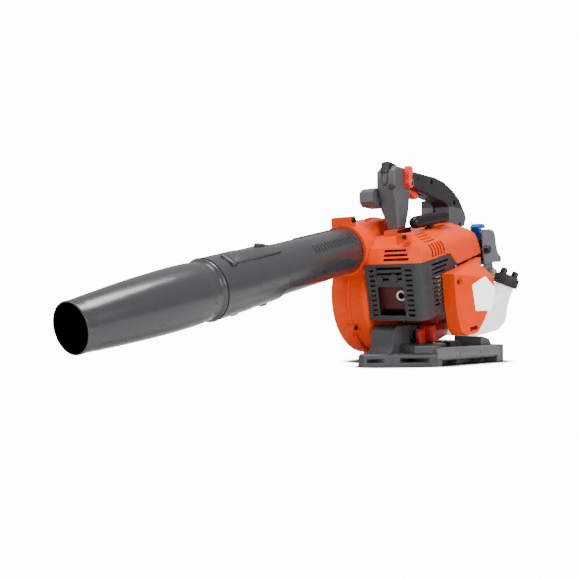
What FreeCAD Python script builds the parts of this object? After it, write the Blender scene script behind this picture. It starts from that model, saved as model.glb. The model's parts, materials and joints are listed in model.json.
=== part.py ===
import FreeCAD, Part
import Sketcher
import math
import os

# Hand-held petrol leaf blower. Millimetres. The nozzle points to -X, the engine side is -Y,
# the air inlet side is +Y, +Z is up. The origin is on the floor under the crankshaft.
# Everything but the base and the handle is modelled in the tool's own frame, whose origin is
# the crankshaft centre and whose X axis is the air tube's direction. The tool leans nose down.

V = FreeCAD.Vector
doc = FreeCAD.newDocument("LeafBlower")

SIZES = {
    "crank_height": 126, "tool_tilt": 11.6, "clearance": 0.3,
    # air path
    "tube_radius": 40, "tube_wall": 2.2, "tube_axis_side": 100, "tube_axis_up": 94.7,
    "tube_length": 298, "rim_forward": 108, "tube_insert": 26,
    "sleeve_length": 140, "sleeve_wall": 3.2, "collar_length": 73, "collar_rise": 1.0,
    "sleeve_slide": 71, "spigot_length": 22, "nozzle_length": 225, "nozzle_tip_radius": 32,
    "scroll_low": 107, "scroll_rear": 123, "scroll_crown": 90, "scroll_shift": 7, "scroll_drop": 3,
    "scroll_half": 38, "scroll_wall": 3, "scroll_round": 11, "flange_rise": 3, "flange_thick": 3.6,
    "seal_thick": 0.8, "inlet_radius": 58, "impeller_radius": 92, "impeller_blades": 12,
    # engine
    "bore_radius": 17.5, "stroke": 27, "rod_length": 50, "shaft_radius": 6, "case_radius": 30,
    "case_half": 22, "bearing_radius": 14, "bearing_width": 8, "web_radius": 22, "fin_pitch": 5,
    "flywheel_radius": 42, "guard_front": 107, "guard_wall": 3, "guard_low": -28, "guard_high": 68,
    "guard_side": 43, "muffler_front": 96, "cover_wall": 3, "deck_up": 112, "cover_side": 44,
    "pulley_radius": 22, "rope_radius": 1.75, "pull_length": 107,
    # fuel and intake
    "cap_radius": 23.5, "cap_height": 18, "neck_radius": 18.5, "tank_wall": 3,
    "filter_front": 143, "filter_rear": 208, "filter_side": 50,
    # handle and base
    "handle_near": 20, "handle_half": 18, "grip_top": 343, "grip_low": 313,
    "base_top": 22, "block_top": 67, "bar_radius": 11,
}

sheet = doc.addObject("Spreadsheet::Sheet", "Sizes")
for row, (alias, number) in enumerate(SIZES.items(), start=1):
    sheet.set("A%d" % row, alias)
    sheet.set("B%d" % row, str(number))
    sheet.setAlias("B%d" % row, alias)
doc.recompute()


class Dim:
    """A size held as a number together with the sheet formula that gives it."""

    def __init__(self, value, formula):
        self.value = float(value)
        self.formula = formula

    def __add__(self, other):
        return joined_size(self, "+", other)

    def __radd__(self, other):
        return joined_size(other, "+", self)

    def __sub__(self, other):
        return joined_size(self, "-", other)

    def __rsub__(self, other):
        return joined_size(other, "-", self)

    def __mul__(self, other):
        return joined_size(self, "*", other)

    def __rmul__(self, other):
        return joined_size(other, "*", self)

    def __truediv__(self, other):
        return joined_size(self, "/", other)

    def __neg__(self):
        return joined_size(0, "-", self)

    def __float__(self):
        return self.value


def as_dim(size):
    if isinstance(size, Dim):
        return size
    return Dim(size, "(%.6f)" % size)


def joined_size(left, sign, right):
    a = as_dim(left)
    b = as_dim(right)
    results = {"+": a.value + b.value, "-": a.value - b.value, "*": a.value * b.value}
    value = a.value / b.value if sign == "/" else results[sign]
    return Dim(value, "(%s %s %s)" % (a.formula, sign, b.formula))


class SheetSizes:
    def __getattr__(self, alias):
        return Dim(sheet.get(alias), "Sizes." + alias)


S = SheetSizes()
GAP = S.clearance
TOOL = FreeCAD.Placement(V(0, 0, float(S.crank_height)), FreeCAD.Rotation(V(0, 1, 0), -float(S.tool_tilt)))
LEVEL = FreeCAD.Placement()
AXIS = {"x": V(1, 0, 0), "y": V(0, 1, 0), "z": V(0, 0, 1)}
nodes = {}


def bind(thing, prop, size):
    size = as_dim(size)
    thing.setExpression(prop, size.formula)


def node(label, thing, frame=TOOL, own=None):
    """Names one finished piece and puts it in its frame."""
    thing.Label = label
    thing.Placement = frame.multiply(own) if own else frame
    nodes[label] = thing
    return thing


# ---- primitives and booleans ------------------------------------------------------------

def place_at(thing, corner):
    for letter, size in zip("xyz", corner):
        bind(thing, "Placement.Base." + letter, size)


def rod(radius, start, length, axis="y", end_radius=None):
    """A cylinder or cone that begins at start and runs along axis, a letter or a vector."""
    direction = AXIS[axis] if isinstance(axis, str) else axis
    kind = "Part::Cylinder" if end_radius is None else "Part::Cone"
    thing = doc.addObject(kind, "Rod")
    if end_radius is None:
        bind(thing, "Radius", radius)
    else:
        bind(thing, "Radius1", radius)
        bind(thing, "Radius2", end_radius)
    bind(thing, "Height", length)
    thing.Placement = FreeCAD.Placement(V(0, 0, 0), FreeCAD.Rotation(V(0, 0, 1), direction))
    place_at(thing, start)
    return thing


def slab(low, high):
    thing = doc.addObject("Part::Box", "Slab")
    for prop, a, b in zip(("Length", "Width", "Height"), low, high):
        bind(thing, prop, as_dim(b) - a)
    place_at(thing, low)
    return thing


def ball(radius, centre):
    thing = doc.addObject("Part::Sphere", "Ball")
    bind(thing, "Radius", radius)
    place_at(thing, centre)
    return thing


def fuse(*things):
    result = doc.addObject("Part::MultiFuse", "Fuse")
    result.Shapes = list(things)
    result.Refine = True
    return result


def cut(base, *tools):
    result = doc.addObject("Part::Cut", "Cut")
    result.Base = base
    result.Tool = tools[0] if len(tools) == 1 else fuse(*tools)
    return result


def common(first, second):
    result = doc.addObject("Part::Common", "Common")
    result.Base = first
    result.Tool = second
    return result


def turned_copy(thing, angle, axis="y"):
    """A linked copy of a shape, turned about an axis through the frame's origin."""
    copy = doc.addObject("Part::Compound", "Copy")
    copy.Links = [thing]
    copy.Placement = FreeCAD.Placement(V(0, 0, 0), FreeCAD.Rotation(AXIS[axis], angle))
    return copy


# ---- bodies with sketches ---------------------------------------------------------------

def new_body(name="Piece"):
    return doc.addObject("PartDesign::Body", name)


def origin_plane(body, role):
    return [f for f in body.Origin.OriginFeatures if f.Role == role][0]


def sketch_on(body, role, offset=0):
    sketch = body.newObject("Sketcher::SketchObject", "Sketch")
    sketch.AttachmentSupport = [(origin_plane(body, role), "")]
    sketch.MapMode = "FlatFace"
    side = -1 if role == "XZ_Plane" else 1
    sketch.setExpression("AttachmentOffset.Base.z", (as_dim(offset) * side).formula)
    return sketch


def pin_value(sketch, kind, geometry, point, size):
    size = as_dim(size)
    number = sketch.addConstraint(Sketcher.Constraint(kind, -1, 1, geometry, point, size.value))
    sketch.setExpression("Constraints[%d]" % number, size.formula)


def draw_loop(sketch, corners):
    """A closed outline. A corner is (x, y) before a straight side, or (x, y, radius) before an
    arc that bulges outwards when the corners run anticlockwise."""
    count = len(corners)
    ends = []
    for i, corner in enumerate(corners):
        a = V(float(corner[0]), float(corner[1]), 0)
        after = corners[(i + 1) % count]
        b = V(float(after[0]), float(after[1]), 0)
        if len(corner) == 2:
            ends.append((sketch.addGeometry(Part.LineSegment(a, b), False), 1, 2))
            continue
        radius = abs(float(corner[2]))
        chord = b - a
        left = V(-chord.y, chord.x, 0).normalize()
        rise = math.sqrt(max(radius ** 2 - (chord.Length / 2) ** 2, 0))
        bulges_out = float(corner[2]) > 0
        centre = a + chord * 0.5 + left * (rise if bulges_out else -rise)
        first, last = (a, b) if bulges_out else (b, a)
        start = math.atan2(first.y - centre.y, first.x - centre.x)
        stop = math.atan2(last.y - centre.y, last.x - centre.x)
        if stop < start:
            stop += 2 * math.pi
        arc = Part.ArcOfCircle(Part.Circle(centre, V(0, 0, 1), radius), start, stop)
        number = sketch.addGeometry(arc, False)
        ends.append((number, 1, 2) if bulges_out else (number, 2, 1))
    for i in range(count):
        after = ends[(i + 1) % count]
        sketch.addConstraint(Sketcher.Constraint("Coincident", ends[i][0], ends[i][2], after[0], after[1]))
    for i, corner in enumerate(corners):
        pin_value(sketch, "DistanceX", ends[i][0], ends[i][1], corner[0])
        pin_value(sketch, "DistanceY", ends[i][0], ends[i][1], corner[1])
        if len(corner) == 3:
            size = as_dim(corner[2]) if float(corner[2]) > 0 else -as_dim(corner[2])
            number = sketch.addConstraint(Sketcher.Constraint("Radius", ends[i][0], size.value))
            sketch.setExpression("Constraints[%d]" % number, size.formula)


def draw_circle(sketch, x, y, radius):
    centre = V(float(x), float(y), 0)
    number = sketch.addGeometry(Part.Circle(centre, V(0, 0, 1), float(radius)), False)
    constraint = sketch.addConstraint(Sketcher.Constraint("Radius", number, float(radius)))
    sketch.setExpression("Constraints[%d]" % constraint, as_dim(radius).formula)
    pin_value(sketch, "DistanceX", number, 3, x)
    pin_value(sketch, "DistanceY", number, 3, y)


def extrude(body, kind, sketch, length):
    """A pad or pocket that runs towards the positive side of the sketch's axis."""
    feature = body.newObject("PartDesign::" + kind, kind)
    feature.Profile = sketch
    bind(feature, "Length", length)
    towards_normal = sketch.AttachmentSupport[0][0].Role != "XZ_Plane"
    feature.Reversed = (not towards_normal) if kind == "Pad" else towards_normal
    return feature


def pad(body, role, start, end, loops=(), circles=()):
    sketch = sketch_on(body, role, start)
    for loop in loops:
        draw_loop(sketch, loop)
    for circle in circles:
        draw_circle(sketch, *circle)
    return extrude(body, "Pad", sketch, as_dim(end) - start)


def pocket(body, role, start, end, loops=(), circles=()):
    """Cuts from start to end and stops the build if nothing was cut."""
    doc.recompute()
    before = body.Shape.Volume
    sketch = sketch_on(body, role, start)
    for loop in loops:
        draw_loop(sketch, loop)
    for circle in circles:
        draw_circle(sketch, *circle)
    feature = extrude(body, "Pocket", sketch, as_dim(end) - start)
    doc.recompute()
    if body.Shape.Volume > before - 0.01:
        raise RuntimeError("a pocket cut nothing in " + body.Name)
    return feature


def edges_where(feature, test):
    doc.recompute()
    return ["Edge%d" % (i + 1) for i, edge in enumerate(feature.Shape.Edges) if test(edge)]


def soften(body, feature, radius, test, kind="Fillet"):
    names = edges_where(feature, test)
    rounded = body.newObject("PartDesign::" + kind, kind)
    rounded.Base = (feature, names)
    bind(rounded, "Radius" if kind == "Fillet" else "Size", radius)
    doc.recompute()
    return rounded


def along(letter):
    """A test for straight edges that run along one axis."""
    def test(edge):
        box = edge.BoundBox
        spans = {"x": box.XLength, "y": box.YLength, "z": box.ZLength}
        rest = [spans[other] for other in "xyz" if other != letter]
        return spans[letter] > 1 and max(rest) < 0.01
    return test


def at_level(letter, level):
    """A test for edges that lie in one plane across an axis."""
    def test(edge):
        box = edge.BoundBox
        low, high = {"x": (box.XMin, box.XMax), "y": (box.YMin, box.YMax), "z": (box.ZMin, box.ZMax)}[letter]
        return abs(low - float(level)) < 0.01 and abs(high - float(level)) < 0.01
    return test


def lathe(label, profile, at=(0, 0, 0), axis="y", frame=TOOL):
    """A turned piece. The profile is (distance along the axis, radius) and is closed."""
    body = new_body()
    sketch = sketch_on(body, "XY_Plane")
    draw_loop(sketch, profile)
    turn = body.newObject("PartDesign::Revolution", "Revolution")
    turn.Profile = sketch
    turn.ReferenceAxis = (sketch, ["H_Axis"])
    turn.Angle = 360
    direction = AXIS[axis] if isinstance(axis, str) else axis
    spot = V(*[float(value) for value in at])
    own = FreeCAD.Placement(spot, FreeCAD.Rotation(V(1, 0, 0), direction))
    return node(label, body, frame, own)


def ring_profile(start, end, inner, outer):
    return [(start, inner), (end, inner), (end, outer), (start, outer)]


def screw_shape(start, axis, shank, length, head, head_height):
    """A cap screw: start is under the head, and the shank runs along axis."""
    direction = AXIS[axis] if isinstance(axis, str) else axis
    back = [value - step * float(head_height) for value, step in zip(start, direction)]
    socket = rod(head * 0.5, back, head_height * 0.6, direction)
    return cut(fuse(rod(shank, start, length, direction), rod(head, back, head_height, direction)), socket)


# ---- air path ---------------------------------------------------------------------------

SIDE = S.tube_axis_side
UP = S.tube_axis_up
SEAM_NEAR = SIDE - S.seal_thick / 2
SEAM_FAR = SIDE + S.seal_thick / 2
DUCT_BORE = S.tube_radius + GAP
DUCT_OUTER = DUCT_BORE + S.scroll_wall
RIM = -S.rim_forward


def scroll_block(start, end, grow, rounding=None):
    """The spiral casing as a solid: four arcs with their own centres, which meet at the tongue."""
    body = new_body("Scroll")
    sketch = sketch_on(body, "XZ_Plane", start)
    low_x, low_z = -S.scroll_shift, -S.scroll_drop
    rear_z = low_z - S.scroll_low + S.scroll_rear
    top_radius = UP + DUCT_OUTER - rear_z
    top_x = low_x + S.scroll_rear - top_radius
    crown_z = UP + DUCT_OUTER - S.scroll_crown
    r_low, r_rear = S.scroll_low + grow, S.scroll_rear + grow
    r_top, r_crown = top_radius + grow, S.scroll_crown + grow
    tongue = circles_meet(low_x, low_z, r_low, top_x, crown_z, r_crown)
    bottom = (low_x, low_z - r_low)
    rear = (low_x + r_rear, rear_z)
    top = (top_x, crown_z + r_crown)
    arcs = [(tongue, bottom, low_x, low_z, r_low), (bottom, rear, low_x, rear_z, r_rear),
            (rear, top, top_x, rear_z, r_top), (top, tongue, top_x, crown_z, r_crown)]
    for first, last, x, z, radius in arcs:
        centre = V(float(x), float(z), 0)
        start_angle = math.atan2(float(first[1]) - centre.y, float(first[0]) - centre.x)
        stop_angle = math.atan2(float(last[1]) - centre.y, float(last[0]) - centre.x)
        if stop_angle <= start_angle:
            stop_angle += 2 * math.pi
        circle = Part.Circle(centre, V(0, 0, 1), float(radius))
        sketch.addGeometry(Part.ArcOfCircle(circle, start_angle, stop_angle), False)
    for i in range(4):
        sketch.addConstraint(Sketcher.Constraint("Coincident", i, 2, (i + 1) % 4, 1))
        number = sketch.addConstraint(Sketcher.Constraint("Radius", i, float(arcs[i][4])))
        sketch.setExpression("Constraints[%d]" % number, as_dim(arcs[i][4]).formula)
    for i, spot in ((0, bottom), (1, rear), (2, top)):
        pin_value(sketch, "DistanceX", i, 2, spot[0])
        pin_value(sketch, "DistanceY", i, 2, spot[1])
    pin_value(sketch, "DistanceX", 0, 3, low_x)
    pin_value(sketch, "DistanceX", 3, 3, top_x)
    block = extrude(body, "Pad", sketch, as_dim(end) - start)
    if rounding is not None:
        level = [float(as_dim(start)), float(as_dim(end))]
        soften(body, block, rounding, lambda e: any(at_level("y", side)(e) for side in level))
    return body


def circles_meet(x1, z1, r1, x2, z2, r2):
    """The left-hand point where two circles cross."""
    dx, dz = float(x2) - float(x1), float(z2) - float(z1)
    apart = math.hypot(dx, dz)
    a = (float(r1) ** 2 - float(r2) ** 2 + apart ** 2) / (2 * apart)
    rise = math.sqrt(float(r1) ** 2 - a ** 2)
    mid_x, mid_z = float(x1) + a * dx / apart, float(z1) + a * dz / apart
    return (mid_x - rise * dz / apart, mid_z + rise * dx / apart)


def scroll_spot(angle, out):
    """A point on the flange, out from the spiral wall, at an angle seen from the engine side."""
    rear_z = -S.scroll_drop - S.scroll_low + S.scroll_rear
    low = angle < 270 and angle > 90
    radius = (S.scroll_low if low else S.scroll_rear) + out
    centre_z = -S.scroll_drop if low else rear_z
    turn = math.radians(angle)
    return (radius * math.cos(turn) - S.scroll_shift, centre_z + radius * math.sin(turn))


FLANGE_ANGLES = (200, 242, 288, 330, 12)


def housing_solid():
    """Both halves in one: spiral casing, round outlet duct, flange, clamp lug and screw bosses."""
    outer = scroll_block(SIDE - S.scroll_half, SIDE + S.scroll_half, 0, S.scroll_round)
    inner_half = S.scroll_half - S.scroll_wall
    inner = scroll_block(SIDE - inner_half, SIDE + inner_half, -S.scroll_wall, S.scroll_round - S.scroll_wall)
    flange = scroll_block(SIDE - S.flange_thick, SIDE + S.flange_thick, S.flange_rise)
    duct_run = 62
    duct = rod(DUCT_OUTER, (RIM, SIDE, UP), duct_run, "x")
    knuckle = ball(DUCT_OUTER, (RIM + duct_run, SIDE, UP))
    rim_band = rod(DUCT_OUTER + 2, (RIM, SIDE, UP), 7, "x")
    bore = rod(DUCT_BORE, (RIM - 20, SIDE, UP), duct_run + 20, "x")
    hollow = ball(DUCT_BORE, (RIM + duct_run, SIDE, UP))
    lug = slab((RIM + 2, SIDE - 20, UP + DUCT_OUTER - 6), (RIM + 17, SIDE + 20, UP + DUCT_OUTER + 14))
    bosses = []
    for angle in FLANGE_ANGLES:
        x, z = scroll_spot(angle, 5)
        bosses.append(rod(6.5, (x, SIDE - 9, z), 18))
    eye = rod(S.inlet_radius, (0, SIDE + 10, 0), 60)
    shaft_hole = rod(9, (0, SIDE - 60, 0), 60)
    solid = fuse(outer, flange, duct, knuckle, rim_band, lug, *bosses)
    drills = [rod(2.2, (scroll_spot(a, 5)[0], SIDE - 12, scroll_spot(a, 5)[1]), 24) for a in FLANGE_ANGLES]
    clamp_hole = rod(2.7, (RIM + 9, SIDE - 24, UP + DUCT_OUTER + 8), 48)
    return cut(solid, inner, bore, hollow, eye, shaft_hole, clamp_hole, *drills)


def make_housing():
    solid = housing_solid()
    reach = 400
    near = slab((-reach, SIDE - 60, -reach), (reach, SEAM_NEAR, reach))
    far = slab((-reach, SEAM_FAR, -reach), (reach, SIDE + 60, reach))
    middle = slab((-reach, SEAM_NEAR, -reach), (reach, SEAM_FAR, reach))
    node("fan_housing_engine_side", common(solid, near))
    node("fan_housing_inlet_side", common(solid, far))
    node("housing_seal", common(solid, middle))


def make_inlet_grille():
    body = new_body("Grille")
    face = SIDE + S.scroll_half
    rim_in, rim_out = S.inlet_radius - 3, S.inlet_radius + 5
    pad(body, "XZ_Plane", face, face + 10, circles=[(0, 0, rim_out), (0, 0, rim_in)])
    for radius in (14, 26, 38):
        pad(body, "XZ_Plane", face + 12, face + 16, circles=[(0, 0, radius + 3), (0, 0, radius)])
    pad(body, "XZ_Plane", face + 6, face + 12, circles=[(0, 0, 52), (0, 0, 48.5)])
    bars = [slab((-rim_in - 2, face + 6, -1.6), (rim_in + 2, face + 14, 1.6)) for step in range(4)]
    turned = [turned_copy(bar, 22.5 + 45 * step) for step, bar in enumerate(bars)]
    node("inlet_grille", fuse(body, *turned))


def make_impeller():
    """Back plate, hub and backward curved blades."""
    body = new_body("Impeller")
    back = SIDE - 32
    pad(body, "XZ_Plane", back, back + 3, circles=[(0, 0, S.impeller_radius), (0, 0, S.shaft_radius)])
    pad(body, "XZ_Plane", back, back + 26, circles=[(0, 0, 15), (0, 0, S.shaft_radius)])
    sketch = sketch_on(body, "XZ_Plane", back + 2)
    draw_loop(sketch, [(43, 3.2), (S.impeller_radius - 4, 21.5), (S.impeller_radius - 5, 24), (42, 6)])
    wing = extrude(body, "Pad", sketch, 46)
    pattern = body.newObject("PartDesign::PolarPattern", "PolarPattern")
    pattern.Originals = [wing]
    pattern.Axis = (origin_plane(body, "Y_Axis"), [""])
    pattern.Angle = 360
    bind(pattern, "Occurrences", S.impeller_blades)
    body.Tip = pattern
    node("impeller", body)


def make_tube():
    """Rear tube, sliding sleeve with its collar, and the tapered nozzle with a round mouth."""
    at = (RIM, SIDE, UP)
    inner = S.tube_radius - S.tube_wall
    back = S.tube_insert
    front = S.tube_insert - S.tube_length
    node_tube = new_body("RearTube")
    sleeve_end = -582 + S.nozzle_length + S.sleeve_length
    rib_low, rib_high = S.tube_radius - 1, S.tube_radius + 1.5
    pad(node_tube, "YZ_Plane", RIM + front, RIM + back,
        circles=[(SIDE, UP, S.tube_radius), (SIDE, UP, inner)])
    pad(node_tube, "YZ_Plane", RIM + sleeve_end + S.sleeve_slide + 4, RIM - 3,
        loops=[[(SIDE - 1.5, UP + rib_low), (SIDE + 1.5, UP + rib_low),
                (SIDE + 1.5, UP + rib_high), (SIDE - 1.5, UP + rib_high)]])
    node("rear_tube", node_tube)
    tip = -582
    collar_start = tip + S.nozzle_length
    sleeve_in = S.tube_radius + GAP
    sleeve_out = sleeve_in + S.sleeve_wall
    spigot_out = S.tube_radius - 1
    spigot_in = spigot_out - S.tube_wall
    front_wall = 8
    lathe("tube_sleeve", [
        (collar_start - S.spigot_length, spigot_in), (collar_start + 2, spigot_in),
        (collar_start + front_wall, sleeve_in), (collar_start + S.sleeve_length, sleeve_in),
        (collar_start + S.sleeve_length, sleeve_out - 0.6), (collar_start + S.sleeve_length - 2, sleeve_out),
        (collar_start + S.collar_length, sleeve_out), (collar_start + S.collar_length, sleeve_out + S.collar_rise),
        (collar_start, sleeve_out + S.collar_rise), (collar_start, spigot_out),
        (collar_start - S.spigot_length, spigot_out)], at, "x")
    wall = S.tube_wall
    steps = [(0, 0), (10, 0), (32, 2), (65, 4.8), (105, 7.6), (145, 9.6), (180, 10.4), (198, 10.2)]
    flare = (S.tube_radius + 2.4 - S.nozzle_tip_radius) / 10.4
    outside = [(tip + run, S.nozzle_tip_radius + rise * flare) for run, rise in steps]
    neck = [(collar_start - GAP - 18, S.tube_radius + 0.6), (collar_start - GAP - 8, S.tube_radius + 0.6),
            (collar_start - GAP - 3, sleeve_out + 0.4), (collar_start - GAP, sleeve_out + 0.4)]
    bore = spigot_out + GAP
    inside = [(collar_start - GAP, bore), (collar_start - S.spigot_length - 3, bore)]
    inside += [(tip + run, S.nozzle_tip_radius + rise * flare - wall) for run, rise in steps[-2::-1]]
    lathe("nozzle", outside + neck + inside, at, "x")


def make_air_fasteners():
    screws = []
    for angle in FLANGE_ANGLES:
        x, z = scroll_spot(angle, 5)
        screws.append(screw_shape((x, SIDE - 9, z), "y", 2.1, 17, 4, 3))
    screws.append(screw_shape((RIM + 9, SIDE - 20, UP + DUCT_OUTER + 8), "y", 2.6, 42, 4.6, 4))
    node("housing_screws", compound(screws))


def compound(things):
    result = doc.addObject("Part::Compound", "Group")
    result.Links = list(things)
    return result


# ---- engine -----------------------------------------------------------------------------

CHAMBER = 10.5
CASE_BOLTS = ((-24, 16), (24, 16))
PIN_BDC = S.rod_length - S.stroke / 2
BARREL_BASE = 26
BARREL_TOP = 84
HEAD_INSIDE = PIN_BDC + S.stroke + 12.5


def crankcase_block(start, end):
    drum = cut(rod(S.case_radius, (0, start, 0), end - start), slab((-40, start, BARREL_BASE), (40, end, 40)))
    return fuse(drum, slab((-27, start, 8), (27, end, BARREL_BASE)))


def crankcase_hollow():
    seat = CHAMBER + S.bearing_width
    return [rod(S.web_radius + 2.5, (0, -CHAMBER, 0), 2 * CHAMBER),
            rod(S.bearing_radius + 0.02, (0, -seat, 0), 2 * seat),
            rod(S.shaft_radius + 3, (0, -40, 0), 140),
            rod(S.bore_radius + 0.1, (0, 0, 5), 40, "z")]


def make_crankcase():
    half = S.case_half
    holes = crankcase_hollow() + [rod(2.2, (x, -half - 1, z), 60) for x, z in CASE_BOLTS]
    node("crankcase_starter_side", cut(crankcase_block(-half, as_dim(0)), *holes))
    spigot_end = SIDE - S.scroll_half
    spigot = rod(23, (0, half - 1, 0), spigot_end - half + 1)
    flange = rod(36, (0, spigot_end - 6, 0), 6)
    node("crankcase_fan_side", cut(fuse(crankcase_block(as_dim(0), half), spigot, flange), *holes))
    width = S.bearing_width
    races = []
    for side in (-1, 1):
        start = as_dim(CHAMBER) if side > 0 else -CHAMBER - width
        hole = rod(S.shaft_radius + 0.05, (0, start - 1, 0), width + 2)
        races.append(cut(rod(S.bearing_radius, (0, start, 0), width), hole))
    node("crank_bearings", compound(races))


def make_crank_train():
    web_in, web_out = 4, 9.5
    nut_end = SIDE + 6
    near = fuse(rod(S.web_radius, (0, -web_out, 0), web_out - web_in),
                rod(S.shaft_radius, (0, -51.3, 0), 51.3 - web_in))
    far = fuse(rod(S.web_radius, (0, web_in, 0), web_out - web_in),
               rod(S.shaft_radius, (0, web_in, 0), nut_end - web_in))
    node("crankshaft", compound([near, far]))
    pin_up = PIN_BDC
    big_end = -S.stroke / 2
    shank = slab((-3.5, -2.5, big_end), (3.5, 2.5, pin_up))
    ends = fuse(rod(8.5, (0, -3.6, big_end), 7.2), rod(7, (0, -3.6, pin_up), 7.2), shank)
    node("connecting_rod", cut(ends, rod(5, (0, -5, big_end), 10), rod(4, (0, -5, pin_up), 10)))
    pin_half = S.bore_radius - 2.5
    gudgeon = cut(rod(4, (0, -pin_half, pin_up), 2 * pin_half), rod(2, (0, -20, pin_up), 40))
    node("rod_pins", compound([gudgeon, rod(5, (0, -3.7, big_end), 7.4)]))
    skirt = S.bore_radius - GAP
    body = rod(skirt, (0, 0, pin_up - 12), 23, "z")
    hollow = rod(skirt - 3.2, (0, 0, pin_up - 13), 20, "z")
    grooves = [cut(rod(skirt + 1, (0, 0, pin_up + z), 1.5, "z"), rod(skirt - 1.6, (0, 0, pin_up + z - 1), 4, "z"))
               for z in (3.5, 7.5)]
    pin_hole = rod(4, (0, -20, pin_up), 40)
    node("piston", cut(body, hollow, pin_hole, *grooves))
    ring_outer = S.bore_radius - 0.1
    rings = [cut(rod(ring_outer, (0, 0, pin_up + z), 1.3, "z"), rod(skirt - 1.5, (0, 0, pin_up + z - 1), 4, "z"))
             for z in (3.6, 7.6)]
    node("piston_rings", compound(rings))


def make_cylinder():
    barrel = rod(S.bore_radius + 3.5, (0, 0, BARREL_BASE), BARREL_TOP - BARREL_BASE, "z")
    foot = slab((-27, -22, BARREL_BASE), (27, 22, BARREL_BASE + 5))
    fins = []
    for step in range(9):
        z = 42 + step * S.fin_pitch
        fins.append(slab((-27, -23, z), (27, 26, z + 1.6)))
    exhaust = slab((-30, -14, 44), (-14, 14, 68))
    intake = slab((14, -13, 40), (30, 13, 62))
    bore = rod(S.bore_radius, (0, 0, BARREL_BASE - 1), HEAD_INSIDE - BARREL_BASE + 1, "z")
    ports = [rod(6, (-40, 0, 57), 40, "x"), rod(5.5, (0, 0, 50), 40, "x")]
    ports += [rod(2.2, (-40, y, 50), 22, "x") for y in (-9, 9)]
    plug_hole = rod(5, plug_spot(2), 60, PLUG_AXIS)
    boss = rod(9, plug_spot(0), 18, PLUG_AXIS)
    spanner_room = rod(9.5, plug_spot(18), 30, PLUG_AXIS)
    block = fuse(barrel, foot, exhaust, intake, boss, *fins)
    node("cylinder", cut(block, bore, *ports, plug_hole, spanner_room))
    spark = fuse(rod(4.9, plug_spot(4), 15, PLUG_AXIS), rod(8, plug_spot(18), 6, PLUG_AXIS),
                 rod(4, plug_spot(22), 15, PLUG_AXIS))
    node("spark_plug", spark)
    boot = cut(rod(7, plug_spot(24.2), 16, PLUG_AXIS), rod(4.1, plug_spot(24), 13.2, PLUG_AXIS))
    node("plug_boot", boot)


PLUG_AXIS = V(math.sin(math.radians(62)), 0, math.cos(math.radians(62)))


def plug_spot(run):
    """A point on the spark plug's axis, which leans to the rear."""
    return (2 + run * PLUG_AXIS.x, 0, BARREL_TOP - 7 + run * PLUG_AXIS.z)


def make_flywheel():
    start, end = -39.7, -25
    disc = rod(S.flywheel_radius, (0, start, 0), 10)
    hub = rod(12, (0, start, 0), end - start)
    vanes = [turned_copy(slab((14, start + 9, -1.2), (S.flywheel_radius - 1, end, 1.2)), 36 * k) for k in range(10)]
    cup = rod(18, (0, start - 4, 0), 5)
    node("flywheel", cut(fuse(disc, hub, cup, *vanes), rod(S.shaft_radius, (0, -60, 0), 60)))
    nuts = [cut(rod(9, (0, -51, 0), 5.9), rod(S.shaft_radius, (0, -52, 0), 8)),
            cut(rod(10, (0, SIDE - 6 + GAP, 0), 8), rod(S.shaft_radius, (0, SIDE - 8, 0), 14))]
    node("shaft_nuts", compound(nuts))
    gap = S.flywheel_radius + 0.8
    coil = fuse(slab((-17, -38, 50), (17, -27, 68)), slab((-26, -36, gap), (-17, -29, 62)),
                slab((17, -36, gap), (26, -29, 62)), slab((-6, -27.5, 54), (6, -23.1, 64)))
    node("ignition_coil", coil)


def make_exhaust():
    front = -S.muffler_front
    gasket = cut(slab((-31, -13, 45), (-30, 13, 67)), rod(6, (-35, 0, 57), 10, "x"),
                 *[rod(2.2, (-35, y, 50), 10, "x") for y in (-9, 9)])
    node("exhaust_gasket", gasket)
    body = new_body("Muffler")
    profile = [(front, -14), (-36, -14), (-36, 42), (-31, 42), (-31, 62), (front, 62)]
    box = pad(body, "XZ_Plane", -22, 44, loops=[profile])
    soften(body, box, 7, lambda e: along("y")(e) and e.BoundBox.XMax < float(front) + 1)
    outlet = rod(7.5, (front - 4, 0, 14), 6, "x")
    hollow = slab((front + 3, -19, -11), (-39, 41, 59))
    node("muffler", cut(fuse(body, outlet), hollow, rod(5.5, (front - 6, 0, 14), 12, "x"),
                        rod(6, (-45, 0, 57), 20, "x"), rod(2.2, (-110, -9, 50), 100, "x"),
                        rod(2.2, (-110, 9, 50), 100, "x")))


STARTER_SCREW = (-20.5, 21.5)


def guard_profile():
    """Side view of the guard, anticlockwise: it wraps the muffler and runs back to the starter."""
    return [(-S.guard_front, S.guard_low), (-26, S.guard_low), (-20, S.guard_low + 4),
            (-17, 34), (30, 44), (8, S.guard_high - 2), (-2, S.guard_high), (-S.guard_front, S.guard_high)]


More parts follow.
